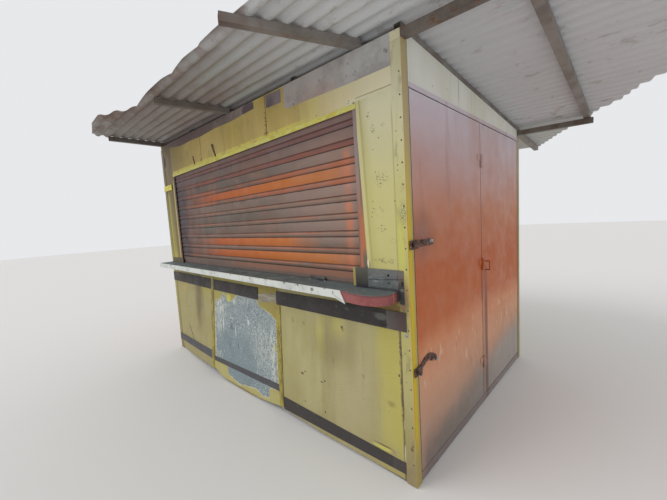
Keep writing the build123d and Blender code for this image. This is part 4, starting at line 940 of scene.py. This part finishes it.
# Brown on the left, running to near white at the right. The right end's paleness is a painted haze of
# sun glare.
board.colour = board.ramp(board.x, (-1.6, 112, 98, 96), (-0.9, 116, 100, 98), (-0.3, 134, 122, 114),
    (0.5, 172, 160, 154), (1.6, 196, 198, 196))
board.paint(
    ((118, 100, 96), 0.45, ("cloud", 0.44, 0.62, 3.4, 7)),
    ((182, 156, 146), 0.6, ("cloud", 0.48, 0.62, 2.4, 4, 6), ("x", 0.3, 0.6)),
    ((92, 78, 74), 0.5, ("cloud", 0.6, 0.68, 24, 6)),
    ((96, 78, 74), 0.5, ("x", -1.1, 0.17, 0.1), ("cloud", 0.3, 0.5, 5, 4, 3)),
    ((116, 106, 112), 0.75, ("x", 0.5, 0.715, 0.004)))
board.stains(
    (0.29, 2.295, 0.09, 0.04, 0.2, 0.3, 20, (84, 68, 76), 0.85),
    (0.56, 2.25, 0.05, 0.05, 0.8, 0.5, 20, (86, 76, 84), 0.7))
board.close(0.85, 0.6, 0.006, "header_valances")
print("finishes:", len(bpy.data.materials))

# %% [markdown]
# ## Small pieces that sit on the solids
# Rivets, screws, weld beads and strips of tape are too small for the solid model. A bead or a head is
# a profile turned about its own axis, and a strip or a weld is a section carried along a path. Both
# are written as formulas over a whole grid of points at once. The rivets, nails, screws, bolts and the
# tape find their seat by a ray against the solids, so they touch what carries them. The lug, its drops
# and the weld rings are set from the solids' boxes and given numbers.

# %% Turned and swept shapes
dice = np.random.default_rng(7)
SIZE_SPREAD = 0.08


def quads(rows, columns):
    """Faces of a grid whose columns close on themselves: row i, column j to row i + 1, column j + 1."""
    i, j = np.meshgrid(np.arange(rows - 1), np.arange(columns), indexing="ij")
    after = (j + 1) % columns
    here, above = i * columns, (i + 1) * columns
    return np.stack([here + j, above + j, above + after, here + after], axis=-1).reshape(-1, 4).tolist()


def turned(profile, sides):
    """A profile of (radius, height) pairs from the top down, turned about Z, with a fan at each end.

    Ring i, side j lies at radius r_i, height h_i and angle 2 pi j / sides."""
    radius, height = np.array(profile, dtype=float).T
    angle = 2.0 * np.pi * np.arange(sides) / sides
    rings = np.stack([np.outer(radius, np.cos(angle)), np.outer(radius, np.sin(angle)),
                      np.repeat(height[:, None], sides, axis=1)], axis=-1).reshape(-1, 3)
    points = np.vstack([rings, [[0.0, 0.0, height[0]], [0.0, 0.0, height[-1]]]])
    top, bottom, last = len(rings), len(rings) + 1, (len(profile) - 1) * sides
    fans = [[top, j, (j + 1) % sides] for j in range(sides)]
    fans += [[bottom, last + (j + 1) % sides, last + j] for j in range(sides)]
    return points, quads(len(profile), sides) + fans


def swept(path, section, grow=None):
    """A closed section of (across, up) pairs carried along a path of points, with flat ends.

    Point (i, j) is path_i + grow_i * (across_j * side_i + up_j * rise_i), where side_i is square to the
    path and level, and rise_i is square to both."""
    path, section = np.array(path, dtype=float), np.array(section, dtype=float)
    grow = np.ones(len(path)) if grow is None else np.asarray(grow, dtype=float)
    along = np.gradient(path, axis=0)
    along /= np.linalg.norm(along, axis=1, keepdims=True)
    side = np.cross(along, (0.0, 0.0, 1.0)) + (0.0, 1e-6, 0.0)
    side /= np.linalg.norm(side, axis=1, keepdims=True)
    rise = np.cross(side, along)
    spread = section[None, :, 0, None] * side[:, None, :] + section[None, :, 1, None] * rise[:, None, :]
    points = (path[:, None, :] + grow[:, None, None] * spread).reshape(-1, 3)
    count, last = len(section), (len(path) - 1) * len(section)
    ends = [list(range(count)), [last + j for j in reversed(range(count))]]
    return points, quads(len(path), count) + ends


def set_down(shape, places, outward):
    """Copies of a shape at the places, Z outward, each turned and sized a little by chance."""
    points, faces = shape
    places, outward = np.array(places, dtype=float), np.array(outward, dtype=float)
    level = np.where(np.abs(outward[:, 2:]) > 0.9, [[1.0, 0.0, 0.0]], [[0.0, 0.0, 1.0]])
    first = np.cross(level, outward)
    first /= np.linalg.norm(first, axis=1, keepdims=True)
    second = np.cross(outward, first)
    spin, size = dice.uniform(0.0, 2.0 * np.pi, (2, len(places), 1))
    size = 1.0 + SIZE_SPREAD * (size / np.pi - 1.0)
    axes = np.stack([np.cos(spin) * first + np.sin(spin) * second,
                     np.cos(spin) * second - np.sin(spin) * first, outward], axis=1)
    placed = np.einsum("nj,kji->kni", points, axes) * size[:, None] + places[:, None, :]
    starts = range(0, len(places) * len(points), len(points))
    copied = [[start + corner for corner in face] for start in starts for face in faces]
    return placed.reshape(-1, 3), copied


def join(*shapes):
    """Several shapes as one."""
    starts = np.cumsum([0] + [len(points) for points, _ in shapes])
    faces = [[corner + start for corner in face]
             for start, (_, own) in zip(starts, shapes) for face in own]
    return np.vstack([points for points, _ in shapes]), faces


def land(names, starts, way):
    """Where rays from the starts first meet the named solids, and which way the faces look there."""
    places, outward = [], []
    for start in starts:
        found = [nodes[name].ray_cast(Vector(start), Vector(way)) for name in names]
        found = [hit for hit in found if hit[0]]
        if found:
            nearest = min(found, key=lambda hit: (hit[1] - Vector(start)).length)
            places.append(tuple(nearest[1]))
            outward.append(tuple(nearest[2]))
    return places, outward


def add_piece(name, shape, finish, body="body"):
    """A mesh object that rides on a body, smooth up to edges sharper than 40 degrees."""
    points, faces = shape
    mesh = bpy.data.meshes.new(name)
    mesh.from_pydata(np.asarray(points).tolist(), [], faces)
    mesh.materials.append(finish)
    mesh.polygons.foreach_set("use_smooth", [True] * len(mesh.polygons))
    mesh.set_sharp_from_angle(angle=math.radians(40.0))
    made = put(name, mesh)
    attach(made, body)
    print(name, len(faces), "faces")


def heads(name, profile, sides, names, starts, way, finish, body="body"):
    """One piece of turned heads, wherever rays from the starts meet the named solids."""
    places, outward = land(names, starts, way)
    add_piece(name, set_down(turned(profile, sides), places, outward), finish, body)


# %% [markdown]
# ### Rivets, nails and tacks
# A line of rivets with dark heads runs down the front of each corner angle, one every 104 mm, and
# single ones sit on the jamb and along a header seam. A rivet is a low dome on a thin flange.

# %% Rivets
RIVET = ((0.0008, 0.0024), (0.0019, 0.0022), (0.0029, 0.0015), (0.0034, 0.0007), (0.0043, 0.0004),
    (0.0045, -0.0004))
NAIL = ((0.0006, 0.0018), (0.0016, 0.0015), (0.0026, 0.0008), (0.0031, -0.0004))
TACK = ((0.0008, 0.0018), (0.0022, 0.0015), (0.0034, 0.0006), (0.0038, -0.0004))
RIVET_LINE, RIVET_PITCH, RIVET_FIRST, RIVET_COUNT = 1.585, 0.104, 0.126, 20
TACK_LINE, TACK_PITCH, TACK_FIRST, TACK_COUNT = 0.4975, 0.019, 2.055, 9
FRONT_OUT, SIDE_OUT = -1.4, 1.8
front_way, side_way = (0.0, 1.0, 0.0), (-1.0, 0.0, 0.0)

column = [(sign * RIVET_LINE, FRONT_OUT, RIVET_FIRST + RIVET_PITCH * k)
          for sign in (-1, 1) for k in range(RIVET_COUNT)]
heads("post_rivets", RIVET, 10, ["corner_posts", "counter_apron", "kick_bands"], column, front_way,
    rusty_iron)

SINGLES = ((1.558, 1.837), (1.559, 1.677), (1.558, 1.653), (1.560, 0.728), (1.561, 0.574),
    (1.532, 1.507), (1.398, 1.516), (1.401, 1.479), (1.394, 1.458), (1.387, 1.436), (1.446, 1.388),
    (1.451, 1.830), (1.423, 1.664), (1.413, 1.778), (0.280, 2.200), (0.009, 2.200), (-0.40, 2.11),
    (0.82, 2.15), (-0.95, 2.14))
header = ["header_sheet_left", "header_sheet_centre", "header_sheet_right"]
heads("sheet_nails", NAIL, 9, ["corner_posts", "jamb_sheets"] + header,
    [(x, FRONT_OUT, z) for x, z in SINGLES], front_way, rusty_iron)

rank = np.arange(TACK_COUNT)
tack_x, tack_z = TACK_LINE + 0.002 * np.sin(rank * 2.4), TACK_FIRST + TACK_PITCH * rank
heads("seam_tacks", TACK, 8, header[1:], [(x, FRONT_OUT, z) for x, z in zip(tack_x, tack_z)],
    front_way, rusty_iron)

# %% [markdown]
# ### Screws
# One newer screw with a wide washer shines on the right post. The hasps are bolted through the leaf,
# and the roof is held by screws with washers on its crests, over every tube.

# %% Bright screw and hasp bolts
zinc = Finish("bright_zinc", metallic=0.7)
zinc.coat((196, 200, 200), (150, 150, 146), ("cloud", 0.4, 0.6, 120))
zinc.lay((112, 86, 66), 0.7, ("cloud", 0.58, 0.66, 200))
bright_zinc = zinc.close(0.5, 0.3, 0.0005, height=zinc.noise(200))

SCREW = ((0.0020, 0.0052), (0.0046, 0.0050), (0.0055, 0.0040), (0.0056, 0.0016), (0.0098, 0.0013),
    (0.0100, -0.0006))
heads("bright_screw", SCREW, 12, ["corner_posts"], [(1.571, FRONT_OUT, 0.825)], front_way,
    bright_zinc)

NUT = ((0.0050, 0.0105), (0.0092, 0.0100), (0.0102, 0.0088), (0.0104, 0.0020), (0.0135, 0.0014),
    (0.0137, -0.0006))
BOLTS = (("hasp_upper", "inner", -0.868, 1.293, rusty_iron),
    ("hasp_upper", "outer", -0.778, 1.291, bright_zinc),
    ("hasp_lower", "inner", -0.800, 0.640, rusty_iron),
    ("hasp_lower", "outer", -0.742, 0.620, bright_zinc))
for hasp, end, y, z, metal in BOLTS:
    heads(hasp + "_bolt_" + end, NUT, 6, [hasp, "door_sheet"], [(SIDE_OUT, y, z)], side_way, metal,
        body="door")

# %% Roof screws
TUBES = (-1.568, -0.80, -0.016, 0.79, 1.568, 2.09)
ROWS = np.arange(-0.88, 1.80, 0.24)
ABOVE, STEP, TRIES, TOP_MARGIN = 3.0, 0.004, 22, 0.01
roof_names = [f"roof_sheet_{number}" for number in (1, 2, 3, 4)]
crests = []
for x in TUBES:
    for y in ROWS:
        starts = [(x, y + STEP * k, ABOVE) for k in range(TRIES)]
        tried = land(roof_names, starts, (0.0, 0.0, -1.0))[0]
        crests += sorted(tried, key=lambda place: place[2])[-1:]
crests = [place for place in crests if place[2] < cad_box[1][2] - TOP_MARGIN]
ROOF_SCREW = ((0.0022, 0.0080), (0.0050, 0.0078), (0.0056, 0.0068), (0.0057, 0.0030),
    (0.0110, 0.0022), (0.0118, -0.0015))
UP = (0.0, 0.0, 1.0)
add_piece("roof_screws", set_down(turned(ROOF_SCREW, 8), crests, [UP] * len(crests)), rusty_iron)

# %% [markdown]
# ### Tape, lug and welds
# Two strips of brown tape close the gap in the dark board. A bent lug of old iron lies against the
# shutter's foot. Each staple is held by a lumpy ring of weld metal. All are swept sections, with a
# ripple or a lump that grows and shrinks along the path.

# %% Tape strips
tape = Finish("brown_tape")
tape.coat((162, 156, 138), (142, 134, 116), ("cloud", 0.42, 0.58, 30, 5, 0, 2, 0.2))
tape.lay((112, 104, 88), 0.7, ("cloud", 0.56, 0.62, 40, 5, 3, 2, 0.15))
brown_tape = tape.close(0.7, 0.45, 0.0012, height=tape.noise(60, (1, 1, 4)))

TAPE_START, TAPE_END, TAPE_STEPS = 0.232, 0.470, 24
TAPE_HEIGHTS, TAPE_RISE, TAPE_LIFT, TAPE_RIPPLE = (0.8796, 0.8466), 0.0166, 0.0009, 0.0006
TAPE_SECTION = ((-0.0006, -0.0170), (0.0006, -0.0170), (0.0009, 0.0), (0.0006, 0.0170),
    (-0.0006, 0.0170), (-0.0006, 0.0))
across = np.linspace(TAPE_START, TAPE_END, TAPE_STEPS)
slope = TAPE_RISE * np.linspace(-1.0, 1.0, TAPE_STEPS) + TAPE_RIPPLE * np.sin(across * 90.0)
strips = []
for middle in TAPE_HEIGHTS:
    starts = [(x, FRONT_OUT, z) for x, z in zip(across, middle + slope)]
    seat = np.array(land(["front_sheet_centre"], starts, front_way)[0]) - (0.0, TAPE_LIFT, 0.0)
    seat[:, 1] -= TAPE_RIPPLE * np.sin(across * 130.0 + middle * 40.0) ** 2
    strips.append(swept(seat, TAPE_SECTION))
add_piece("tape_strips", join(*strips), brown_tape)

# %% Lug by the shutter, and weld rings
bar_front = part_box("shutter_bottom_bar")[0][1]
counter_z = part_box("counter_plate")[1][2]
LUG_START, LUG_LENGTH, LUG_LIFT = 0.850, 0.150, 0.018
share = np.linspace(0.0, 1.0, 16)
lug_size = (0.22 + 0.78 * np.clip(share / 0.7, 0.0, 1.0) ** 1.6
            - 0.5 * np.clip(share - 0.8, 0.0, 1.0) + 0.05 * np.sin(share * 23.0))
lug_z = counter_z + LUG_LIFT - 0.009 * share + 0.002 * np.sin(share * 9.0)
lug_path = np.stack([LUG_START + LUG_LENGTH * share, bar_front - 0.008 * lug_size, lug_z], axis=1)
LUG_SECTION = ((-0.010, -0.010), (0.009, -0.010), (0.011, 0.002), (0.005, 0.012), (-0.002, 0.014),
    (-0.009, 0.006))
lug_iron = worn_steel("old_lug", (70, 74, 74), (52, 52, 52))
lug = lug_iron.close(0.7, 0.4, 0.002, height=lug_iron.noise(90))
add_piece("shutter_lug", swept(lug_path, LUG_SECTION, lug_size), lug)
DROP = ((0.0010, 0.0050), (0.0032, 0.0040), (0.0046, 0.0020), (0.0050, -0.0006))
ends = [(0.858, bar_front - 0.010, counter_z), (1.004, bar_front - 0.014, counter_z)]
add_piece("lug_drops", set_down(turned(DROP, 10), ends, [UP] * 2), bright_zinc)

staple_low, staple_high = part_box("staples")
staple_y = 0.5 * (staple_low[1] + staple_high[1])
RING_X, RING_RADIUS, RING_STEPS, BEAD_RADIUS, BEAD_SIDES = 1.6012, 0.0062, 19, 0.0032, 8
turn_angle = np.linspace(0.0, 2.0 * np.pi, RING_STEPS)
bead_angle = np.linspace(0.0, 2.0 * math.pi, BEAD_SIDES, endpoint=False)
bead = BEAD_RADIUS * np.stack([np.cos(bead_angle), np.sin(bead_angle)], axis=1)
rings = []
for z in (0.623, 0.637, 1.278, 1.292):
    ring_path = np.stack([np.full(RING_STEPS, RING_X), staple_y + RING_RADIUS * np.cos(turn_angle),
                          z + RING_RADIUS * np.sin(turn_angle)], axis=1)
    rings.append(swept(ring_path, bead, 0.9 + 0.18 * np.sin(turn_angle * 5.0 + z * 50.0)))
add_piece("staple_welds", join(*rings), rusty_iron)
